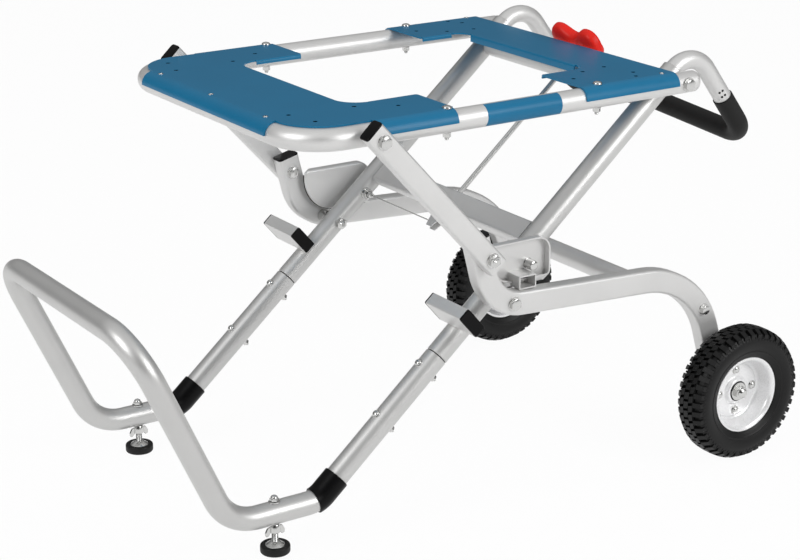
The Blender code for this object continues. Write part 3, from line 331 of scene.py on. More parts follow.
def finish(name, colour, roughness, metallic, grain, depth, mottle=0.06, uneven=0.05, specular=0.5):
    """A coat with a fine grain in its surface and broad, faint changes of tone."""
    material = bpy.data.materials.new(name)
    material.use_nodes = True
    tree = material.node_tree
    place = add(tree, "TexCoord", {}).outputs["Object"]
    fine = add(tree, "TexNoise", {"Vector": place, "Scale": grain, "Detail": 3.0}).outputs["Fac"]
    broad = add(tree, "TexNoise", {"Vector": place, "Scale": 14.0, "Detail": 4.0}).outputs["Fac"]
    dark = (*(c * (1 - mottle) for c in colour), 1.0)
    light = (*(min(1.0, c * (1 + mottle)) for c in colour), 1.0)
    gloss = add(tree, "MapRange", {"Value": fine, "To Min": roughness - uneven, "To Max": roughness + uneven})
    bump = add(tree, "Bump", {"Height": fine, "Strength": 0.6, "Distance": depth})
    feed(tree.nodes["Principled BSDF"], {
        "Base Color": mixed(tree, broad, dark, light), "Metallic": metallic, "Specular IOR Level": specular,
        "Roughness": gloss.outputs["Result"], "Normal": bump.outputs["Normal"]})
    return material


FINISH = {
    "silver": finish("silver_coat", (0.7, 0.697, 0.69), 0.45, 0.6, 1400.0, 0.000005, uneven=0.03),
    "tube": finish("brushed_tube", (0.59, 0.588, 0.58), 0.42, 0.7, 1000.0, 0.000006, uneven=0.04),
    "rod": finish("drawn_rod", (0.6, 0.6, 0.59), 0.34, 0.8, 400.0, 0.0000005, uneven=0.01),
    "steel": finish("bright_zinc", (0.62, 0.62, 0.61), 0.22, 1.0, 900.0, 0.000002),
    "blue": finish("blue_coat", (0.005, 0.155, 0.31), 0.36, 0.0, 900.0, 0.000008, specular=0.3),
    "black": finish("black_plastic", (0.0025, 0.0025, 0.0027), 0.34, 0.0, 1600.0, 0.00002, specular=0.12),
    "grip": finish("black_foam", (0.006, 0.006, 0.0058), 0.6, 0.0, 2200.0, 0.00012, specular=0.3),
    "rubber": finish("black_rubber", (0.006, 0.006, 0.006), 0.55, 0.0, 1200.0, 0.00006, specular=0.3),
    "tyre": finish("tyre_rubber", (0.005, 0.005, 0.0051), 0.46, 0.0, 900.0, 0.00006, specular=0.25),
    "rim": finish("rim_coat", (0.9, 0.9, 0.905), 0.28, 0.3, 1200.0, 0.000005),
    "red": finish("red_plastic", (0.8, 0.02, 0.012), 0.4, 0.0, 700.0, 0.00003, mottle=0.03, specular=0.2),
}


def make(name, bm, slot, body, node="", crease=35.0, coat=""):
    """Turn a built mesh into a piece that rides on a body and may stand for a node."""
    bmesh.ops.recalc_face_normals(bm, faces=bm.faces)
    mesh = bpy.data.meshes.new(name)
    bm.to_mesh(mesh)
    bm.free()
    mesh.materials.append(FINISH[coat or slot])
    mesh.shade_smooth()
    mesh.set_sharp_from_angle(angle=math.radians(crease))
    item = bpy.data.objects.new(name, mesh)
    bpy.context.scene.collection.objects.link(item)
    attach(item, body)
    if node:
        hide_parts(node)
    return item


# Outlines and paths
def circle(radius, sides=ROUND):
    return [(radius * math.cos(2 * math.pi * i / sides), radius * math.sin(2 * math.pi * i / sides))
            for i in range(sides)]


def quarter(steps):
    """Sines and cosines of even steps from nought to just short of a quarter turn."""
    angles = [math.pi / 2 * i / steps for i in range(steps)]
    return [(math.sin(angle), math.cos(angle)) for angle in angles]


def round_box(width, height, radius):
    """A rectangle with round corners."""
    outline = []
    for k, (x, y) in enumerate(((1, 1), (-1, 1), (-1, -1), (1, -1))):
        for i in range(CORNER_STEPS + 1):
            angle = math.pi / 2 * (k + i / CORNER_STEPS)
            outline.append((x * (width / 2 - radius) + radius * math.cos(angle),
                            y * (height / 2 - radius) + radius * math.sin(angle)))
    return outline


def fillet(corners, radii):
    """A path through the corners, with each inner corner rounded to its radius."""
    path = [corners[0]]
    for before, corner, after, radius in zip(corners, corners[1:], corners[2:], radii):
        arrive = (corner - before).normalized()
        leave = (after - corner).normalized()
        turn = arrive.angle(leave)
        start = corner - arrive * (radius * math.tan(turn / 2))
        inward = (leave - arrive * leave.dot(arrive)).normalized()
        steps = max(2, math.ceil(turn / BEND_STEP))
        for i in range(steps + 1):
            angle = turn * i / steps
            ahead = arrive * (radius * math.sin(angle))
            path.append(start + ahead + inward * (radius * (1 - math.cos(angle))))
    path.append(corners[-1])
    return path


def path_length(path):
    return sum((b - a).length for a, b in zip(path, path[1:]))


def cut_path(path, start, end):
    """The stretch of a path between two lengths measured along it."""
    points = []
    travelled = 0.0
    for a, b in zip(path, path[1:]):
        step = (b - a).length
        for mark in (start, end):
            if travelled <= mark < travelled + step:
                points.append(a.lerp(b, (mark - travelled) / step))
        if start < travelled + step < end:
            points.append(b)
        travelled += step
    return points


def spaced(path, step):
    """The path with points added, so that no run between two points is longer than a step."""
    points = [path[0]]
    for a, b in zip(path, path[1:]):
        count = max(1, math.ceil((b - a).length / step))
        points += [a.lerp(b, i / count) for i in range(1, count + 1)]
    return points


# Solids
def loft(bm, rings, closed=False):
    rows = [[bm.verts.new(point) for point in ring] for ring in rings]
    pairs = list(zip(rows, rows[1:]))
    if closed:
        pairs.append((rows[-1], rows[0]))
    count = len(rows[0])
    for a, b in pairs:
        for i in range(count):
            j = (i + 1) % count
            bm.faces.new((a[i], a[j], b[j], b[i]))
    if not closed:
        bm.faces.new(rows[0][::-1])
        bm.faces.new(rows[-1])


def sweep_rings(path, outlines, first_axis):
    """Rings carried along a path without twist, each with its own outline."""
    rings = []
    tangent = (path[1] - path[0]).normalized()
    a = (first_axis - tangent * first_axis.dot(tangent)).normalized()
    last = tangent
    for i, point in enumerate(path):
        before = path[i] - path[i - 1] if i else path[1] - path[0]
        after = path[i + 1] - path[i] if i + 1 < len(path) else before
        tangent = (before.normalized() + after.normalized()).normalized()
        a = last.rotation_difference(tangent) @ a
        b = tangent.cross(a)
        last = tangent
        rings.append([point + a * p + b * q for p, q in outlines[i]])
    return rings


def tube(path, radius, wall, edge=0.0005, first_axis=ACROSS):
    """A round tube with its end edges eased."""
    total = path_length(path)
    path = [path[0]] + spaced(cut_path(path, edge, total - edge), RUN_STEP) + [path[-1]]
    outlines = [circle(radius - edge)] + [circle(radius)] * (len(path) - 2) + [circle(radius - edge)]
    rings = sweep_rings(path, outlines, first_axis)
    inside = [circle(radius - wall)] * len(path)
    bm = bmesh.new()
    loft(bm, rings + sweep_rings(path, inside, first_axis)[::-1], closed=True)
    return bm


def box_tube(bm, path, width, height, wall, first_axis=ACROSS, radius=FLAT_CORNER):
    """A flat-sided tube with round corners; its width lies along the first axis."""
    outer = [round_box(width, height, radius)] * len(path)
    inner = [round_box(width - 2 * wall, height - 2 * wall, radius - wall / 2)] * len(path)
    rings = sweep_rings(path, outer, first_axis)
    loft(bm, rings + sweep_rings(path, inner, first_axis)[::-1], closed=True)


def stacked(origin, way, a, b, steps):
    """Flat rings along a way; each step has its distance and its outline in the directions a and b."""
    return [[origin + way * distance + a * p + b * q for p, q in outline] for distance, outline in steps]


def axes_about(axis):
    """Two directions square to an axis and to each other."""
    across = UP if abs(axis.y) > 0.9 else ACROSS
    a = (across - axis * across.dot(axis)).normalized()
    return a, axis.cross(a)


def turned(bm, origin, axis, profile, sides=ROUND, closed=False):
    """A turned form: each step of the profile has a distance along the axis and a radius."""
    axis = axis.normalized()
    steps = [(distance, circle(radius, sides)) for distance, radius in profile]
    loft(bm, stacked(origin, axis, *axes_about(axis), steps), closed)


def cylinder(bm, origin, axis, radius, length, sides=ROUND):
    turned(bm, origin, axis, [(0.0, radius), (length, radius)], sides)


def hex_head(bm, origin, axis, flats, height):
    """A hexagon with the turned chamfer of a bolt head or nut."""
    axis = axis.normalized()
    a, b = axes_about(axis)
    sides = 36
    inner = flats / 2 * 0.96
    slope = math.tan(math.radians(30))
    low = []
    edge = []
    top = []
    for i in range(sides):
        angle = 2 * math.pi * i / sides
        within = (angle % (math.pi / 3)) - math.pi / 6
        reach = flats / 2 / math.cos(within)
        way = a * math.cos(angle) + b * math.sin(angle)
        low.append(origin + way * reach)
        edge.append(origin + way * reach + axis * (height - (reach - inner) * slope))
        top.append(origin + way * inner + axis * height)
    loft(bm, [low, edge, top])


def washer(bm, origin, axis, radius, thickness):
    ease = thickness * 0.3
    turned(bm, origin, axis, [(0.0, radius), (thickness - ease, radius), (thickness, radius - ease)])


def bolt_head(bm, origin, axis, flats=PIVOT_HEX, height=HEAD_H, disc=PIVOT_WASHER):
    """A hexagon head on its washer."""
    washer(bm, origin, axis, disc, DISC)
    hex_head(bm, origin + axis * DISC, axis, flats, height - DISC)


def dome(bm, origin, axis, radius, height):
    """A round head, full at its edge."""
    bulge = [(height * (0.18 + 0.82 * rise), radius * reach) for rise, reach in quarter(7)]
    turned(bm, origin, axis, [(0.0, radius)] + bulge, 32)


def thread(bm, origin, axis, radius, length):
    """A threaded end, with its turns and a pointed tip."""
    pitch = 0.00125
    turns = max(1, int(length / pitch))
    profile = [(0.0, radius)]
    for i in range(turns):
        profile += [(pitch * (i + 0.5), radius * 0.9), (pitch * (i + 0.95), radius)]
    profile.append((length + pitch, radius * 0.72))
    turned(bm, origin, axis, profile, 24)


def nut_and_thread(bm, origin, axis, flats, height, radius, past):
    hex_head(bm, origin, axis, flats, height)
    thread(bm, origin + axis * (height * 0.98), axis, radius, past)


# Base loop, collars and legs
def over_both_legs(half, between=()):
    """A path that starts at the left leg and comes back along the right one."""
    return [at_y(p, -LEG_Y) for p in half] + list(between) + [at_y(p, LEG_Y) for p in reversed(half)]


def base_and_legs():
    toe = HEEL - LENGTHWISE * BASE_RUN
    crown = toe + Vector((-math.tan(RISER_LEAN) * RISER_HEIGHT, 0.0, RISER_HEIGHT))
    radii = (HEEL_RADIUS, TOE_RADIUS, CROWN_RADIUS)
    path = fillet(over_both_legs([leg_point(LEG_BUTT), HEEL, toe, crown]), radii + radii[::-1])
    make("base_tube", tube(path, LEG_R, LEG_WALL), "silver", "base_frame", "base_loop", coat="tube")
    sleeve = cut_path(fillet([leg_point(COLLAR_TOP), HEEL, toe], (HEEL_RADIUS,)), 0.0, COLLAR_LENGTH)
    for side, sign in SIDES:
        y = sign * LEG_Y
        bm = tube([at_y(p, y) for p in sleeve], LEG_R + COLLAR_WALL, COLLAR_WALL - FIT, 0.0009)
        make("leg_sleeve_" + side, bm, "black", "base_frame", "leg_collar_" + side)
        for part, start, end, edge in (("lower_leg_", LEG_BUTT, LEG_SEAM - SEAM_GAP, 0.0006),
                                       ("upper_leg_", LEG_SEAM, LEG_TOP, 0.0008)):
            bm = tube([leg_point(start, 0.0, y), leg_point(end, 0.0, y)], LEG_R, LEG_WALL, edge)
            make(part + "tube_" + side, bm, "silver", "base_frame", part + side, coat="tube")
        # A black ring inside the gap between the two leg tubes: painted shade that darkens the gap.
        shade_path = [leg_point(LEG_SEAM - 0.006, 0.0, y), leg_point(LEG_SEAM + 0.004, 0.0, y)]
        make("leg_gap_shade_" + side, tube(shade_path, LEG_R - 0.0012, 0.0014, 0.0002), "black", "base_frame")
        leg_bolts(side, y)
        dome_nut(side, y)


def leg_bolts(side, y):
    """Bolts that hold the two parts of each leg together, heads above and nuts below."""
    bm = bmesh.new()
    for along in LEG_BOLTS:
        above = leg_point(along, LEG_R - WASHER_SINK, y)
        below = leg_point(along, WASHER_SINK - LEG_R, y)
        washer(bm, above, LEG_ACROSS, *LEG_WASHER)
        dome(bm, above + LEG_ACROSS * 0.0014, LEG_ACROSS, *LEG_HEAD)
        washer(bm, below, -LEG_ACROSS, *LEG_WASHER)
        nut_and_thread(bm, below - LEG_ACROSS * 0.0014, -LEG_ACROSS, *LEG_NUT)
    make("leg_bolts_" + side, bm, "steel", "base_frame")


def dome_nut(side, y):
    """Cap nut of the levelling foot, on top of the base tube."""
    bm = bmesh.new()
    seat = Vector((FOOT.x, y, HEEL.z + LEG_R - WASHER_SINK))
    washer(bm, seat, UP, *FOOT_WASHER)
    hex_head(bm, seat + UP * 0.0017, UP, 0.012, 0.004)
    dome(bm, seat + UP * 0.0054, UP, *FOOT_DOME)
    make("dome_nut_" + side, bm, "steel", "base_frame")


def rest_blocks():
    """Flat blocks on top of the legs, with a plastic cap over each end."""
    for side, _ in SIDES:
        middle = LEG_R + REST_TALL / 2
        ends = [leg_point(REST_BLOCK_AT, middle, corner.y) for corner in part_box("rest_block_" + side)]
        bm = bmesh.new()
        shell = [ends[0] + ACROSS * REST_CAP, ends[1] - ACROSS * REST_CAP]
        box_tube(bm, shell, REST_ALONG, REST_TALL, 0.0016, LEG_ALONG, 0.0025)
        make("rest_block_shell_" + side, bm, "silver", "base_frame", "rest_block_" + side)
        bm = bmesh.new()
        inner = round_box(REST_ALONG - 0.0034, REST_TALL - 0.0034, 0.0016)
        full = round_box(REST_ALONG, REST_TALL, 0.0025)
        eased = round_box(REST_ALONG - 0.0008, REST_TALL - 0.0008, 0.0022)
        steps = [(0.0, eased), (0.0004, full), (REST_CAP, full), (REST_CAP, inner)]
        loft(bm, stacked(ends[0], ACROSS, LEG_ALONG, LEG_ACROSS, steps)
             + stacked(ends[1], -ACROSS, LEG_ALONG, LEG_ACROSS, steps[::-1]))
        make("rest_pad_" + side, bm, "black", "base_frame", "rest_insert_" + side)


def cross_members():
    reach = LEG_IN + WELD_SINK
    member, upper = ([leg_point(along, 0.0, -reach), leg_point(along, 0.0, reach)]
                     for along in (CROSS_MEMBER_AT, CROSS_TUBE_AT))
    bm = bmesh.new()
    box_tube(bm, member, CROSS_MEMBER_WIDE, CROSS_MEMBER_TALL, FLAT_WALL, LEG_ALONG)
    make("cross_member_tube", bm, "silver", "base_frame", "cross_member")
    bm = tube(upper, CROSS_TUBE_R, TUBE_WALL, first_axis=LEG_ALONG)
    make("cross_tube", bm, "silver", "base_frame", "upper_cross_tube")


# Handle
def handle():
    hook = leg_point(TABLE_PIVOT_AT + HOOK_RISE)
    down = Vector((math.cos(HANDLE_DROP), 0.0, -math.sin(HANDLE_DROP)))
    grip = hook + down * HANDLE_REACH
    start = leg_point(TABLE_PIVOT_AT + HANDLE_BUTT)
    corners = over_both_legs([start, hook, grip], [grip - down * GRIP_BOW])
    path = fillet(corners, (HOOK_RADIUS, GRIP_RADIUS, BOW_RADIUS, GRIP_RADIUS, HOOK_RADIUS))
    make("handle_bar", tube(path, HANDLE_R, TUBE_WALL), "silver", "base_frame", "handle_tube")
    turn = HANDLE_DROP + math.atan2(LEG_ALONG.z, LEG_ALONG.x)
    saved = HOOK_RADIUS * (2 * math.tan(turn / 2) - turn)
    first = (hook - start).length + GRIP_START - saved
    foam = cut_path(path, first, path_length(path) - first)
    bm = tube(foam, HANDLE_R + GRIP_WALL, GRIP_WALL - FIT, 0.0011)
    make("handle_foam", bm, "grip", "base_frame", "handle_grip")
    punch_mark_shade(hook, down)


def punch_mark_shade(hook, down):
    """Two pairs of small black dots above each end of the grip, where the foam's sleeve is crimped: painted
    shade for the punched dimples.
    """
    shade_dot = [(0.0, 0.0019), (0.0008, 0.0019), (0.0011, 0.0013), (0.0009, 0.0008)]
    for side, sign in SIDES:
        bm = bmesh.new()
        for row in (GRIP_START - 0.018, GRIP_START - 0.009):
            middle = at_y(hook + down * row, sign * LEG_Y)
            for turn in (-0.55, -0.15):
                out = ACROSS * (sign * math.cos(turn)) + down.cross(ACROSS) * math.sin(turn)
                turned(bm, middle + out * (HANDLE_R - WELD_SINK), out, shade_dot, 20)
        make("crimp_dot_shade_" + side, bm, "black", "base_frame")


# Top frame
def rail_point(x, y, above=0.0):
    return Vector((x, y, TABLE_PIVOT.z + above))


def both_sides(places):
    return [(x, sign * y) for x, y in places for _, sign in SIDES]


def top_tube():
    corners = [rail_point(x, y) for x, y in (
        (RAIL_END, -RAIL_Y), (FRONT_TUBE, -RAIL_Y), (FRONT_TUBE, RAIL_Y), (RAIL_END, RAIL_Y))]
    bm = tube(fillet(corners, (FRAME_RADIUS, FRAME_RADIUS)), RAIL_R, TUBE_WALL, 0.0002)
    make("top_rail", bm, "silver", "top_frame", "top_tube")
    rail_ends()
    rail_bolts()
    plate_screws()
    rail_band()


def rail_ends():
    """Domed plugs in the open ends of the rails."""
    inside = RAIL_R - TUBE_WALL - SPACER_SINK
    for side, sign in SIDES:
        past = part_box("rail_end_plug_" + side)[1].x - RAIL_END
        bulge = [(past * rise, RAIL_R * reach) for rise, reach in quarter(10)]
        bm = bmesh.new()
        turned(bm, rail_point(RAIL_END, sign * RAIL_Y), LENGTHWISE, [(-0.01, inside), (0.0, inside)] + bulge)
        make("rail_end_" + side, bm, "silver", "top_frame", "rail_end_plug_" + side)


def rail_bolts():
    """Bolts that hold the plates on the rails, with domed heads above and nuts below."""
    for side, sign in SIDES:
        bm = bmesh.new()
        for x in RAIL_BOLTS:
            top = Vector((x, sign * RAIL_Y, PLATE_TOP - 0.0002))
            low = rail_point(x, sign * RAIL_Y, WASHER_SINK - RAIL_R)
            dome(bm, top, UP, *RAIL_HEAD)
            washer(bm, low, -UP, *RAIL_WASHER)
            nut_and_thread(bm, low - UP * 0.0015, -UP, *RAIL_NUT)
        make("rail_bolts_" + side, bm, "steel", "top_frame")


def plate_screws():
    """Flat screws that hold the plates down on the tubes."""
    head = [(0.0, 0.0036), (0.0008, 0.0036), (0.0011, 0.003), (0.001, 0.0016), (0.0004, 0.0014)]
    bm = bmesh.new()
    for x, y in [(FRONT_TUBE, y) for y in FRONT_SCREWS] + both_sides([(RAIL_SCREW, RAIL_Y)]):
        turned(bm, Vector((x, y, PLATE_TOP - 0.0003)), UP, head, 24)
    make("plate_screws", bm, "steel", "top_frame")


def rail_band():
    """A plain blue band on the outside of the near rail."""
    steps = 40
    outside = RAIL_R + 0.0003
    inside = RAIL_R + 0.00002
    corners = ((BAND_START, inside), (BAND_START, outside), (BAND_END, outside), (BAND_END, inside))
    rings = []
    for i in range(steps + 1):
        angle = BAND_LOW + (BAND_HIGH - BAND_LOW) * i / steps
        out = -ACROSS * math.cos(angle) + UP * math.sin(angle)
        rings.append([rail_point(x, -RAIL_Y) + out * radius for x, radius in corners])
    bm = bmesh.new()
    loft(bm, rings)
    make("rail_band", bm, "blue", "top_frame")


# Plates
def rounded(points, radii):
    """A flat outline with its corners rounded, and the index at which each corner ends."""
    outline = []
    ends = []
    count = len(points)
    for i, radius in enumerate(radii):
        corner = Vector((*points[i], 0.0))
        before = Vector((*points[i - 1], 0.0))
        after = Vector((*points[(i + 1) % count], 0.0))
        arc = fillet([before, corner, after], (radius,))[1:-1] if radius else [corner]
        outline += [(p.x, p.y) for p in arc]
        ends.append(len(outline) - 1)
    return outline, ends


def fold_down(bm, inner, outer, outward, bend, drop):
    """Fold an edge of a sheet, given by its two lower and its two upper corners."""
    starts = [vert.co.copy() for vert in inner]
    turns = [(*turn, 0.0) for turn in quarter(12)[1:] + [(1.0, 0.0)]]
    if drop:
        turns.append((1.0, 0.0, drop))
    for past, level, fall in turns:
        rows = []
        for radius, lift in ((bend, 0.0), (bend + SHEET, SHEET)):
            shift = outward * (radius * past) + UP * (lift - fall - radius * (1 - level))
            rows.append([bm.verts.new(start + shift) for start in starts])
        low, high = rows
        bm.faces.new((inner[0], inner[1], low[1], low[0]))
        bm.faces.new((outer[0], outer[1], high[1], high[0]))
        for k in (0, 1):
            bm.faces.new((inner[k], low[k], high[k], outer[k]))
        inner, outer = low, high
    bm.faces.new((inner[0], inner[1], outer[1], outer[0]))


def plate(name, node, half, radii, folds, holes):
    """A flat sheet with holes, given by its left half; a fold has its corner, way, bend and drop."""
    level = PLATE_TOP - SHEET
    points = [(x, -y) for x, y in half] + half[::-1]
    outline, ends = rounded(points, radii + radii[::-1])
    folded = {ends[corner]: fold for corner, *fold in folds}
    holes = both_sides(holes)
    borders = []
    bm = bmesh.new()
    for loop in [outline] + [[(x + p, y + q) for p, q in circle(HOLE_R, 20)] for x, y in holes]:
        under = [bm.verts.new((x, y, level)) for x, y in loop]
        over = [bm.verts.new((x, y, PLATE_TOP)) for x, y in loop]
        borders.append((under, over))
        for i in range(len(loop)):
            j = (i + 1) % len(loop)
            for row in (under, over):
                bm.edges.new((row[i], row[j]))
            if loop is not outline or i not in folded:
                bm.faces.new((under[i], under[j], over[j], over[i]))
    for height in (level, PLATE_TOP):
        ring = [edge for edge in bm.edges if all(abs(vert.co.z - height) < 1e-6 for vert in edge.verts)]
        bmesh.ops.triangle_fill(bm, use_beauty=True, edges=ring)
    under, over = borders[0]
    for i, fold in folded.items():
        j = (i + 1) % len(outline)
        fold_down(bm, (under[i], under[j]), (over[i], over[j]), *fold)
    darken_holes(node, holes)
    item = make(name, bm, "blue", "top_frame", node)
    ease = item.modifiers.new("eased edges", "BEVEL")
    ease.width = 0.0005
    ease.segments = 2
    ease.limit_method = "ANGLE"
    ease.angle_limit = math.radians(50)


def darken_holes(node, holes):
    """Black sleeves in the saw mounting holes: painted shade that darkens the holes."""
    wide = HOLE_R - FIT
    narrow = HOLE_R - 0.0008
    top = SHEET - 0.0003
    shade_ring = [(0.0, wide), (top, wide), (top, narrow), (0.0, narrow)]
    bm = bmesh.new()
    for x, y in holes:
        turned(bm, Vector((x, y, PLATE_TOP - SHEET)), UP, shade_ring, 20, closed=True)
    make(node + "_hole_shade", bm, "black", "top_frame")


def front_plate():
    half = [(FRONT_TUBE, RAIL_Y), (SKIRT_START, RAIL_Y), (FRONT_TIP, RAIL_Y), (FRONT_TIP, WELL_HALF),
            (FRONT_WELL, WELL_HALF)]
    radii = (FRAME_RADIUS, 0.0, TIP_RADIUS, TIP_RADIUS, WELL_RADIUS)
    folds = [(1, -ACROSS, RAIL_BEND, 0.0), (7, ACROSS, RAIL_BEND, 0.0), (9, -LENGTHWISE, RAIL_BEND, 0.0),
             (3, ACROSS, LIP_BEND, SIDE_LIP), (5, -ACROSS, LIP_BEND, SIDE_LIP)]
    plate("front_saw_plate", "front_plate", half, radii, folds, FRONT_HOLES)


def rear_plate():
    half = [(REAR_WELL, WELL_HALF), (REAR_TIP, WELL_HALF), (REAR_TIP, RAIL_Y), (REAR_EDGE, RAIL_Y)]
    radii = (REAR_WELL_RADIUS, TIP_RADIUS, 0.0, 0.0)
    folds = [(2, -ACROSS, RAIL_BEND, 0.0), (4, ACROSS, RAIL_BEND, 0.0), (7, -LENGTHWISE, LIP_BEND, WELL_LIP),
             (6, -ACROSS, LIP_BEND, SIDE_LIP), (0, ACROSS, LIP_BEND, SIDE_LIP)]
    plate("rear_saw_plate", "rear_plate", half, radii, folds, REAR_HOLES)


# Pivot bolts
def pivot_nut(bm, place, way, height=PIVOT_NUT_H, past=0.002):
    nut_and_thread(bm, place, way, PIVOT_HEX, height, PIVOT_BOLT_R, past)


def pivot_bolts():
    rail_in = RAIL_Y - RAIL_R
    rail_out = RAIL_Y + RAIL_R
    table_gap = rail_in - LEG_OUT + 2 * SPACER_SINK
    link_gap = LINK_IN - rail_out + BOLT_SINK / 2
    for side, sign in SIDES:
        out = sign * ACROSS
        bm = bmesh.new()
        bolt_head(bm, TABLE_PIVOT + out * (rail_out - BOLT_SINK), out)
        washer(bm, TABLE_PIVOT + out * (LEG_OUT - SPACER_SINK), out, PIVOT_WASHER, table_gap)
        pivot_nut(bm, TABLE_PIVOT + out * (LEG_IN + BOLT_SINK), -out)
        make("table_bolt_" + side, bm, "steel", "top_frame", "table_pivot_bolt_" + side)
        bm = bmesh.new()
        bolt_head(bm, LINK_TOP + out * LINK_OUT, out)
        cylinder(bm, LINK_TOP + out * (rail_out - BOLT_SINK), out, PIVOT_WASHER, link_gap)
        pivot_nut(bm, LINK_TOP + out * (rail_in + BOLT_SINK), -out, HEAD_H)
        make("link_bolt_" + side, bm, "steel", "top_frame", "link_top_bolt_" + side)
        bm = bmesh.new()
        bolt_head(bm, ARM_PIVOT + out * ARM_OUT, out)
        cylinder(bm, ARM_PIVOT + out * (LEG_OUT - SPACER_SINK), out, PIVOT_WASHER, ARM_IN - LEG_OUT)
        pivot_nut(bm, ARM_PIVOT + out * (LEG_IN + BOLT_SINK), -out)
        make("arm_bolt_" + side, bm, "steel", "base_frame", "arm_pivot_bolt_" + side)
        bm = bmesh.new()
        washer(bm, LINK_FOOT + out * LINK_OUT, out, PIVOT_WASHER, DISC)
        pivot_nut(bm, LINK_FOOT + out * (LINK_OUT + DISC - FIT), out, 0.006, 0.0035)
        cylinder(bm, LINK_FOOT + out * LINK_IN, out, PIVOT_BOLT_R, LINK_OUT - LINK_IN)
        make("link_nut_" + side, bm, "steel", "link_" + side, "link_pin_" + side)


# Links
def end_cap(bm, end, outward, width, height):
    """A moulded cap with a domed top, over the end of a flat-sided tube."""
    inner = round_box(width - 0.0046, height - 0.0046, 0.003)
    full = round_box(width, height, FLAT_CORNER)
    eased = round_box(width - 0.001, height - 0.001, FLAT_CORNER)
    small = round_box(width - 0.0036, height - 0.0036, FLAT_CORNER - 0.001)
    steps = [(-0.01, inner), (0.0, inner), (0.0, full), (0.002, full), (0.0028, eased), (0.0032, small)]
    loft(bm, stacked(end, outward, ACROSS, outward.cross(ACROSS), steps))


def links():
    down = (LINK_FOOT - LINK_TOP).normalized()
    width = LINK_OUT - LINK_IN
    for side, sign in SIDES:
        body = "link_" + side
        middle = sign * (LINK_IN + LINK_OUT) / 2
        start = at_y(LINK_TOP - down * LINK_TOP_PAST, middle)
        end = at_y(LINK_FOOT + down * LINK_FOOT_PAST, middle)
        bm = bmesh.new()
        box_tube(bm, [start, end], width, LINK_H, FLAT_WALL)
        make("link_tube_" + side, bm, "silver", body, body)
        bm = bmesh.new()
        end_cap(bm, start, -down, width, LINK_H)
        make("link_end_" + side, bm, "black", body, "link_cap_" + side)


# Wheel arms
def wheel_arms():
    knee = ARM_PIVOT - LENGTHWISE * KNEE_BACK
    up = (LINK_FOOT - knee).normalized()
    shoulder = AXLE + Vector((-SHOULDER_BACK, 0.0, SHOULDER_RISE))
    end = AXLE + (AXLE - shoulder).normalized() * ARM_END_PAST
    corners = [LINK_FOOT + up * ARM_TOP_PAST, knee, shoulder, end]
    path = fillet(corners, (KNEE_RADIUS, SHOULDER_RADIUS))
    width = ARM_OUT - ARM_IN
    for side, sign in SIDES:
        out = sign * ACROSS
        y = sign * (ARM_IN + ARM_OUT) / 2
        bm = bmesh.new()
        box_tube(bm, [at_y(p, y) for p in path], width, ARM_H, FLAT_WALL)
        make("arm_tube_" + side, bm, "silver", "wheel_arms", "wheel_arm_" + side)
        bm = bmesh.new()
        end_cap(bm, at_y(path[0], y), up, width, ARM_H)
        make("arm_end_" + side, bm, "black", "wheel_arms", "arm_cap_" + side)
        bm = bmesh.new()
        bolt_head(bm, ARM_BOLT + out * ARM_OUT, out, 0.013, 0.0075, 0.0088)
        nut_and_thread(bm, ARM_BOLT + out * ARM_IN, -out, *ARM_NUT)
        bolt_head(bm, LINK_FOOT + out * ARM_IN, -out)
        make("arm_fasteners_" + side, bm, "steel", "wheel_arms")
    place = centre("arm_cross_tube")
    bm = tube([at_y(place, -ARM_IN), at_y(place, ARM_IN)], ARM_TIE_R, TUBE_WALL, first_axis=UP)
    make("arm_tie_tube", bm, "silver", "wheel_arms", "arm_cross_tube")


def inset(points, amount):
    """A convex outline moved inwards by an amount."""
    count = len(points)
    moved = []
    for i in range(count):
        corner = Vector(points[i])
        a = (corner - Vector(points[i - 1])).normalized()
        b = (Vector(points[(i + 1) % count]) - corner).normalized()
        inward = Vector((a.y, -a.x)) + Vector((b.y, -b.x))
        moved.append(tuple(corner + inward * (amount / (1 + a.dot(b)))))
    return moved


def arm_pans():
    """Dished sheet in the corner of each arm, with a socket and the sleeve of the lock pin."""
    low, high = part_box("arm_pan_right")
    top = high.z + PAN_RISE
    bottom = ARM_PIVOT.z + PAN_ABOVE_PIVOT
    bend = 0.0035
    ease = 0.0006

    def edge(amount, tuck):
        left = low.x + tuck
        points = [(left, top), (high.x, top), (high.x, bottom + tuck), (left, bottom + tuck)]
        radii = (0.007, 0.022, 0.008, PAN_CORNER - tuck)
        return rounded(inset(points, amount), [max(0.0008, r - amount) for r in radii])

    def ring(amount, y, tuck=0.0):
        return [Vector((x, y, z)) for x, z in edge(amount, tuck)[0]]

    for side, sign in SIDES:
        rings = []
        for rise, reach in quarter(CORNER_STEPS) + [(1.0, 0.0)]:
            rings.append(ring(bend * (1 - rise), sign * (PAN_IN + bend * (1 - reach))))
        for amount, depth in ((0.0, ARM_IN - ease), (ease, ARM_IN), (PAN_SHEET - ease, ARM_IN),
                              (PAN_SHEET, ARM_IN - ease)):
            rings.append(ring(amount, sign * depth, PAN_TUCK))
        rings.append(ring(PAN_SHEET, sign * (PAN_IN + PAN_SHEET)))
        bm = bmesh.new()
        loft(bm, rings)
        socket(bm, sign)
        make("pan_sheet_" + side, bm, "silver", "wheel_arms", "arm_pan_" + side)
        # A thin black bead along the pan's lower and left edges: painted shade for the shadow gap between the
        # pan and the arm.
        outline, ends = edge(0.0003, 0.0)
        y = sign * (PAN_IN + bend + 0.0005)
        shade_path = [Vector((x, y, z)) for x, z in outline[ends[2]:] + outline[:1]]
        bm = bmesh.new()
        loft(bm, sweep_rings(shade_path, [circle(PAN_SHADE_R, 12)] * len(shade_path), ACROSS))
        make("pan_edge_shade_" + side, bm, "black", "wheel_arms")
        keeper(side, sign * ACROSS)


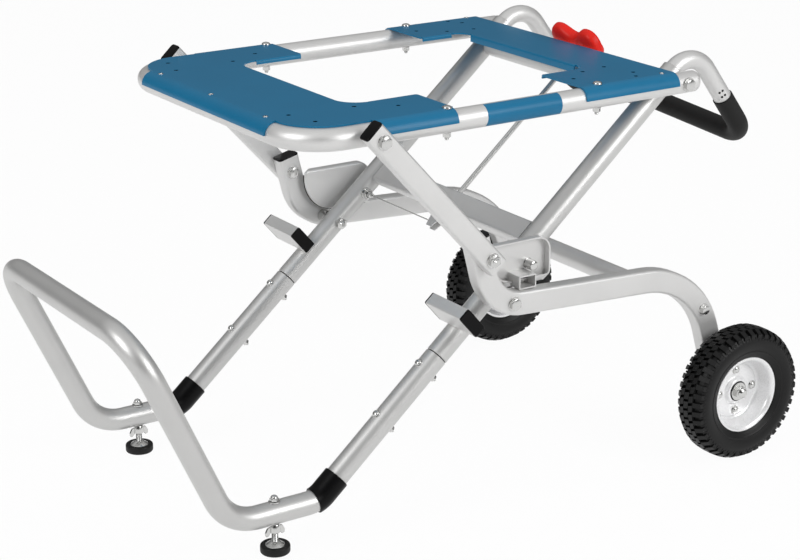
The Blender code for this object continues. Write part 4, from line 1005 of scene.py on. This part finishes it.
def socket(bm, sign):
    """A square socket, welded into the pan on top of the arm."""
    place = Vector((ARM_PIVOT.x + 0.029, 0.0, ARM_PIVOT.z + ARM_H / 2 + 0.00795))
    ends = [at_y(place, sign * (PAN_IN + 0.001)), at_y(place, sign * (PAN_IN + 0.0315))]
    box_tube(bm, ends, 0.03, 0.0197, 0.0018, LENGTHWISE, 0.0016)


def keeper(side, out):
    """The sleeve that the lock pin enters."""
    length = extent("lock_keeper_" + side).y
    sleeve = [(0.0, 0.0082), (0.0013, 0.0082), (0.0016, 0.0078), (0.0016, 0.0074),
              (length - 0.003, 0.0074), (length - 0.0012, 0.0068), (length - 0.0002, 0.005)]
    bm = bmesh.new()
    turned(bm, LOCK_PIN + out * (PAN_IN + PAN_SHEET - 0.0002), out, sleeve)
    make("lock_sleeve_" + side, bm, "steel", "wheel_arms", "lock_keeper_" + side)


# Wheels
def lug(bm, middle, angle, half_angle, skew, inner, outer):
    """A tread block; each side has its offset along Y, its base radius and its top radius."""
    corners = []
    for level, shrink in ((1, 1.0), (2, 0.86)):
        for side, lean in ((inner, -skew), (outer, skew)):
            for way in (-1, 1):
                a = angle + lean + way * half_angle * shrink
                reach = side[level]
                corners.append(middle + Vector((reach * math.cos(a), side[0], reach * math.sin(a))))
    v = [bm.verts.new(point) for point in corners]
    for face in ((0, 1, 3, 2), (4, 6, 7, 5), (0, 4, 5, 1), (2, 3, 7, 6), (0, 2, 6, 4), (1, 5, 7, 3)):
        bm.faces.new([v[i] for i in face])


def tyre(side, middle):
    flank = [(0.0168, RIM_R + 0.0003), (0.019, RIM_R + 0.0004), (0.0205, 0.0625), (0.0228, 0.066),
             (0.0236, 0.069), (0.0244, 0.07), (0.0246, 0.0715), (0.0242, 0.0725), (0.0264, 0.078),
             (TYRE_HALF, 0.084), (TYRE_HALF - 0.0002, 0.088), (0.0258, 0.0915), (0.0238, 0.0945),
             (0.018, 0.098), (0.01, 0.1)]
    profile = [(-y, radius) for y, radius in flank] + [(0.0, 0.1004)] + flank[::-1]
    bm = bmesh.new()
    turned(bm, middle, ACROSS, profile, 120, closed=True)
    pitch = 2 * math.pi / TREAD_LUGS
    top = WHEEL_R - 0.0001
    for i in range(TREAD_LUGS):
        for way in (-1, 1):
            phase = pitch * (i + 0.5 - 0.25 * way)
            lug(bm, middle, phase, pitch * 0.31, 0.0,
                (way * 0.0142, 0.0965, top - 0.0008), (way * 0.0256, 0.089, top - 0.0072))
            lug(bm, middle, phase + pitch / 2, pitch * 0.4, pitch * 0.1 * way,
                (way * 0.0056, 0.0985, top), (way * 0.0134, 0.097, top - 0.0008))
            for k in (0.0, 0.5):
                lug(bm, middle, phase + pitch * k, pitch * 0.13, 0.0,
                    (way * 0.0228, 0.093, 0.0982), (way * 0.0264, 0.087, 0.0915))
        lug(bm, middle, pitch * i, pitch * 0.42, pitch * 0.08, (-0.0048, 0.0985, top), (0.0048, 0.0985, top))
    make("tyre_tread_" + side, bm, "tyre", "wheel_" + side, "tyre_" + side, 28.0)


def rim(side, middle, out):
    """A pressed steel rim: a rolled lip, a deep dish, a flat disc and a hub."""
    face = [(0.016, 0.0601), (0.0186, 0.0606), (0.02, 0.0602), (0.0205, 0.0592), (0.0203, 0.0578),
            (0.0184, 0.0552), (0.0166, 0.0536), (0.014, 0.0526), (0.008, 0.051), (0.0004, 0.0488),
            (-0.0028, 0.0476), (-0.005, 0.0458), (-0.0058, 0.0436), (-0.0052, 0.042), (-0.0046, 0.0405),
            (-0.0046, 0.024), (-0.0038, 0.0225), (0.0, 0.0205), (0.0014, 0.0198), (HUB_OUT, 0.0188)]
    back = [(HUB_OUT, 0.0163), (-HUB_BACK, 0.0163), (-HUB_BACK, 0.02), (-0.0092, 0.02),
            (-0.0096, 0.047), (-0.004, 0.0505), (0.004, 0.053), (0.009, 0.0548), (0.009, 0.0562),
            (0.006, 0.0568), (-RIM_HALF, 0.0568), (-RIM_HALF, 0.06)]
    bm = bmesh.new()
    turned(bm, middle, out, face + back, 96, closed=True)
    make("rim_dish_" + side, bm, "rim", "wheel_" + side, "rim_" + side, 40.0)
    bm = bmesh.new()
    for i in range(4):
        angle = math.pi / 2 * i + math.radians(92)
        spoke = Vector((math.cos(angle), 0.0, math.sin(angle))) * RIM_BOLT_AT
        spot = middle + spoke - out * 0.0048
        washer(bm, spot, out, *RIM_WASHER)
        dome(bm, spot + out * 0.001, out, *RIM_HEAD)
    make("rim_bolts_" + side, bm, "steel", "wheel_" + side)


def bearing_and_axle(side, middle, out):
    sleeve = [(-HUB_BACK, 0.016), (HUB_OUT - 0.0006, 0.016), (HUB_OUT, 0.0152), (HUB_OUT, 0.0092),
              (HUB_OUT - 0.0006, 0.0084), (-HUB_BACK, 0.0084)]
    bm = bmesh.new()
    turned(bm, middle, out, sleeve, closed=True)
    make("hub_sleeve_" + side, bm, "black", "wheel_" + side, "wheel_bearing_" + side)
    seat = middle + out * (HUB_OUT + 0.0003)
    shoulder = [(0.0, 0.012), (0.0095, 0.012), (0.01, 0.0078), (0.03, 0.0078)]
    bm = bmesh.new()
    washer(bm, seat, out, *AXLE_WASHER)
    nut_and_thread(bm, seat + out * 0.0016, out, *AXLE_NUT)
    turned(bm, AXLE + out * ARM_OUT, out, shoulder)
    hex_head(bm, AXLE + out * ARM_IN, -out, 0.0208, 0.0064)
    make("axle_bolt_" + side, bm, "steel", "wheel_arms", "axle_" + side)


def wheels():
    for side, sign in SIDES:
        out = sign * ACROSS
        middle = AXLE + out * WHEEL_Y
        tyre(side, middle)
        rim(side, middle, out)
        bearing_and_axle(side, middle, out)


# Feet
def feet():
    pad = [(0.0, 0.0194), (0.0004, 0.0204), (0.0014, 0.0212), (0.0028, 0.0215), (0.0096, 0.0215),
           (0.011, 0.0211), (0.0118, 0.0202), (0.012, 0.019), (0.012, 0.0152), (0.0095, 0.015)]
    collar = [(0.0095, 0.0144), (0.0114, 0.0144), (0.0124, 0.0136), (0.015, 0.0086), (0.0165, 0.0062)]
    for side, sign in SIDES:
        place = Vector((FOOT.x, sign * LEG_Y, 0.0))
        bm = bmesh.new()
        turned(bm, place, UP, pad)
        make("foot_rubber_" + side, bm, "rubber", "foot_" + side, "foot_pad_" + side)
        bm = bmesh.new()
        turned(bm, place, UP, collar)
        thread(bm, place + UP * 0.016, UP, 0.0048, 0.052)
        make("foot_screw_" + side, bm, "steel", "foot_" + side, "foot_stud_" + side)
        wing_nut(side, place)


def wing_nut(side, place):
    """A lock nut with two wings that flare downwards."""
    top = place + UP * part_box("wing_nut_" + side)[1].z
    nut = [(-0.012, 0.0055), (-0.012, 0.008), (-0.0105, 0.0085), (-0.001, 0.0071), (0.0, 0.0064),
           (0.0, 0.0055)]
    corners = [(0.006, -0.003), (0.012, -0.004), (0.016, -0.0115), (0.0152, -0.0168),
               (0.0108, -0.0172), (0.006, -0.0112)]
    radii = (0.0004, 0.004, 0.005, 0.002, 0.0022, 0.0004)
    half = 0.0015
    ease = 0.0006
    bm = bmesh.new()
    turned(bm, top, UP, nut, closed=True)
    for way in (-1, 1):
        steps = []
        for amount, y in ((ease, -half), (0.0, ease - half), (0.0, half - ease), (ease, half)):
            outline, _ = rounded(inset(corners, amount), [max(0.0002, radius - amount) for radius in radii])
            steps.append((y, outline))
        loft(bm, stacked(top, ACROSS, way * LENGTHWISE, UP, steps))
    make("wing_lock_nut_" + side, bm, "steel", "wing_nut_" + side, "wing_nut_" + side)


# Release gear
def pull_grip():
    """The red pull: two lobes with a valley between, leaning towards the handle."""
    pull = leg_point(PULL_AT, PULL_LIFT)
    half = extent("pull_handle").y / 2 - 0.002
    stations = 48
    rings = []
    for i in range(stations + 1):
        t = -math.cos(math.pi * i / stations)
        swell = math.sin(math.pi / 2 * min(abs(t) / PULL_LOBE, 1.0)) ** 2
        past = max(0.0, (abs(t) - PULL_LOBE) / (1 - PULL_LOBE))
        taper = max(0.06, math.sqrt(max(0.0, 1 - past ** 2.6)))
        size = (PULL_VALLEY + (1 - PULL_VALLEY) * swell) * taper
        ring = []
        for p, q in circle(1.0):
            square = 1 / (abs(p) ** 3 + abs(q) ** 3) ** (1 / 3)
            tall = PULL_TALL * size * q * square + PULL_SWELL * swell
            ahead = PULL_THICK * taper ** 0.6 * p * square + PULL_LEAN * max(0.0, tall)
            ring.append(pull + ACROSS * (half * t) + LEG_ACROSS * tall + LEG_ALONG * ahead)
        rings.append(ring)
    bm = bmesh.new()
    loft(bm, rings)
    make("pull_grip", bm, "red", "release_pull", "pull_handle", 60.0)


def release_fork():
    """Two plates on the cross member, with the pull wires running between them."""
    low = LOCK_PIN_AT - 0.01
    high = CROSS_MEMBER_AT - 0.0183
    sections = [round_box(FORK_TIP - 0.001, FORK_SHEET - 0.0006, 0.0005),
                round_box(FORK_TIP, FORK_SHEET, 0.0008), round_box(FORK_ROOT, FORK_SHEET, 0.0008)]
    bm = bmesh.new()
    for lift in (-FORK_LIFT, FORK_LIFT):
        path = [leg_point(low, lift), leg_point(low + 0.0006, lift), leg_point(high, lift)]
        loft(bm, sweep_rings(path, sections, ACROSS))
    sections = [round_box(0.0305, FORK_TALL, 0.003), round_box(FORK_ROOT, FORK_TALL, 0.003)]
    loft(bm, sweep_rings([leg_point(high - 0.009), leg_point(high)], sections, ACROSS))
    make("release_housing", bm, "silver", "base_frame", "release_block")


def release():
    pull_grip()
    start = LOCK_PIN_AT + 0.004
    bm = bmesh.new()
    turned(bm, leg_point(start), LEG_ALONG,
           [(0.0, ROD_R - 0.0006), (0.0008, ROD_R), (PULL_AT - start, ROD_R)], 48)
    make("release_bar", bm, "steel", "release_pull", "release_rod", coat="rod")
    release_fork()
    lock_pins()


def lock_pins():
    """Pins through the legs with their pull wires, and the bushes that guide them."""
    bush = [(0.0, 0.0092), (0.003, 0.0092), (0.0034, 0.0088), (0.0034, 0.0074), (0.0095, 0.0074),
            (0.01, 0.0069), (0.01, 0.0054), (0.0, 0.0054)]
    tail = LEG_IN - 0.016
    for side, sign in SIDES:
        out = sign * ACROSS
        start, nose = sorted(abs(corner.y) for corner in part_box("lock_pin_" + side))
        pin = [(0.0, 0.0018), (0.001, 0.0028), (0.004, 0.0028), (0.005, 0.002), (0.006, 0.002),
               (0.0065, PIN_R - 0.0003), (0.008, PIN_R), (nose - tail + 0.004, PIN_R),
               (nose - tail + 0.006, PIN_R - 0.0013)]
        bm = bmesh.new()
        cylinder(bm, LOCK_PIN + out * start, out, WIRE_R, tail - 0.005 - start, 16)
        turned(bm, LOCK_PIN + out * (tail - 0.006), out, pin, 28)
        make("lock_bolt_" + side, bm, "steel", "lock_pin_" + side, "lock_pin_" + side)
        bm = bmesh.new()
        turned(bm, LOCK_PIN + out * (LEG_IN + 0.0012), -out, bush, 36, closed=True)
        make("lock_bush_" + side, bm, "steel", "base_frame")


# Stage
def studio():
    scene = bpy.context.scene
    scene.view_settings.view_transform = "Standard"
    lens = bpy.data.cameras.new("camera")
    lens.lens = CAMERA_LENS
    lens.sensor_fit = "HORIZONTAL"
    lens.sensor_width = CAMERA_SENSOR
    camera = bpy.data.objects.new("camera", lens)
    camera.location = CAMERA_PLACE
    camera.rotation_euler = (math.pi / 2 - CAMERA_DIP, 0.0, CAMERA_TURN)
    scene.collection.objects.link(camera)
    scene.camera = camera
    floor()
    world(scene)
    for name, place, power in LIGHTS:
        light = bpy.data.lights.new(name, "AREA")
        light.size = LIGHT_SIZE
        light.energy = power
        lamp = bpy.data.objects.new(name, light)
        lamp.location = place
        lamp.rotation_euler = (LIGHT_AIM - Vector(place)).to_track_quat("-Z", "Y").to_euler()
        scene.collection.objects.link(lamp)


def rays(tree, *kinds):
    """One for rays of these kinds and nought for the rest."""
    path = add(tree, "LightPath", {})
    found = path.outputs[kinds[0]]
    for kind in kinds[1:]:
        found = add(tree, "Math", {0: found, 1: path.outputs[kind]}, "MAXIMUM").outputs["Value"]
    return found


def floor():
    """A pale floor that keeps a faint shadow; what a pose takes below it shows through."""
    bm = bmesh.new()
    bmesh.ops.create_grid(bm, x_segments=8, y_segments=8, size=FLOOR_REACH)
    mesh = bpy.data.meshes.new("floor")
    bm.to_mesh(mesh)
    bm.free()
    item = bpy.data.objects.new("floor", mesh)
    item.location.z = -FLOOR_DROP
    bpy.context.scene.collection.objects.link(item)
    material = bpy.data.materials.new("pale_floor")
    material.use_nodes = True
    tree = material.node_tree
    tree.nodes.remove(tree.nodes["Principled BSDF"])
    surface = add(tree, "BsdfDiffuse", {"Color": grey(FLOOR_TONE)}).outputs["BSDF"]
    glow = add(tree, "Emission", {"Strength": 1.0}).outputs["Emission"]
    clear = add(tree, "BsdfTransparent", {}).outputs["BSDF"]
    for shader, kinds in ((glow, ("Is Glossy Ray", "Is Transmission Ray")),
                          (clear, ("Is Camera Ray", "Is Shadow Ray"))):
        share = add(tree, "Math", {0: rays(tree, *kinds), 1: FLOOR_SHARE}, "MULTIPLY").outputs["Value"]
        surface = add(tree, "MixShader", {"Fac": share, 1: surface, 2: shader}).outputs["Shader"]
    feed(tree.nodes["Material Output"], {"Surface": surface})
    mesh.materials.append(material)


def world(scene):
    """A pale studio: bright overhead, dimmer towards the horizon and dark where the viewer stands."""
    sky = bpy.data.worlds.new("studio")
    sky.use_nodes = True
    scene.world = sky
    tree = sky.node_tree
    way = add(tree, "TexCoord", {}).outputs["Generated"]
    ramp = add(tree, "ValToRGB", {"Fac": add(tree, "SeparateXYZ", {"Vector": way}).outputs["Z"]})
    stops = ramp.color_ramp.elements
    stops.remove(stops[1])
    stops[0].color = grey(0.0)
    for height, level in SKY_LEVELS:
        stops.new(height).color = grey(level)
    facing = add(tree, "VectorMath", {0: way, 1: VIEWER}, "DOT_PRODUCT").outputs["Value"]
    shade = add(tree, "MapRange", {"Value": facing, "From Min": math.cos(VIEWER_OUTER),
                                   "From Max": math.cos(VIEWER_INNER)})
    tone = mixed(tree, shade.outputs["Result"], ramp.outputs["Color"], grey(VIEWER_LEVEL))
    seen = mixed(tree, rays(tree, "Is Camera Ray"), tone, grey(1.0))
    feed(tree.nodes["Background"], {"Color": seen, "Strength": 1.0})


base_and_legs()
rest_blocks()
cross_members()
handle()
top_tube()
front_plate()
rear_plate()
pivot_bolts()
links()
wheel_arms()
arm_pans()
wheels()
feet()
release()
studio()
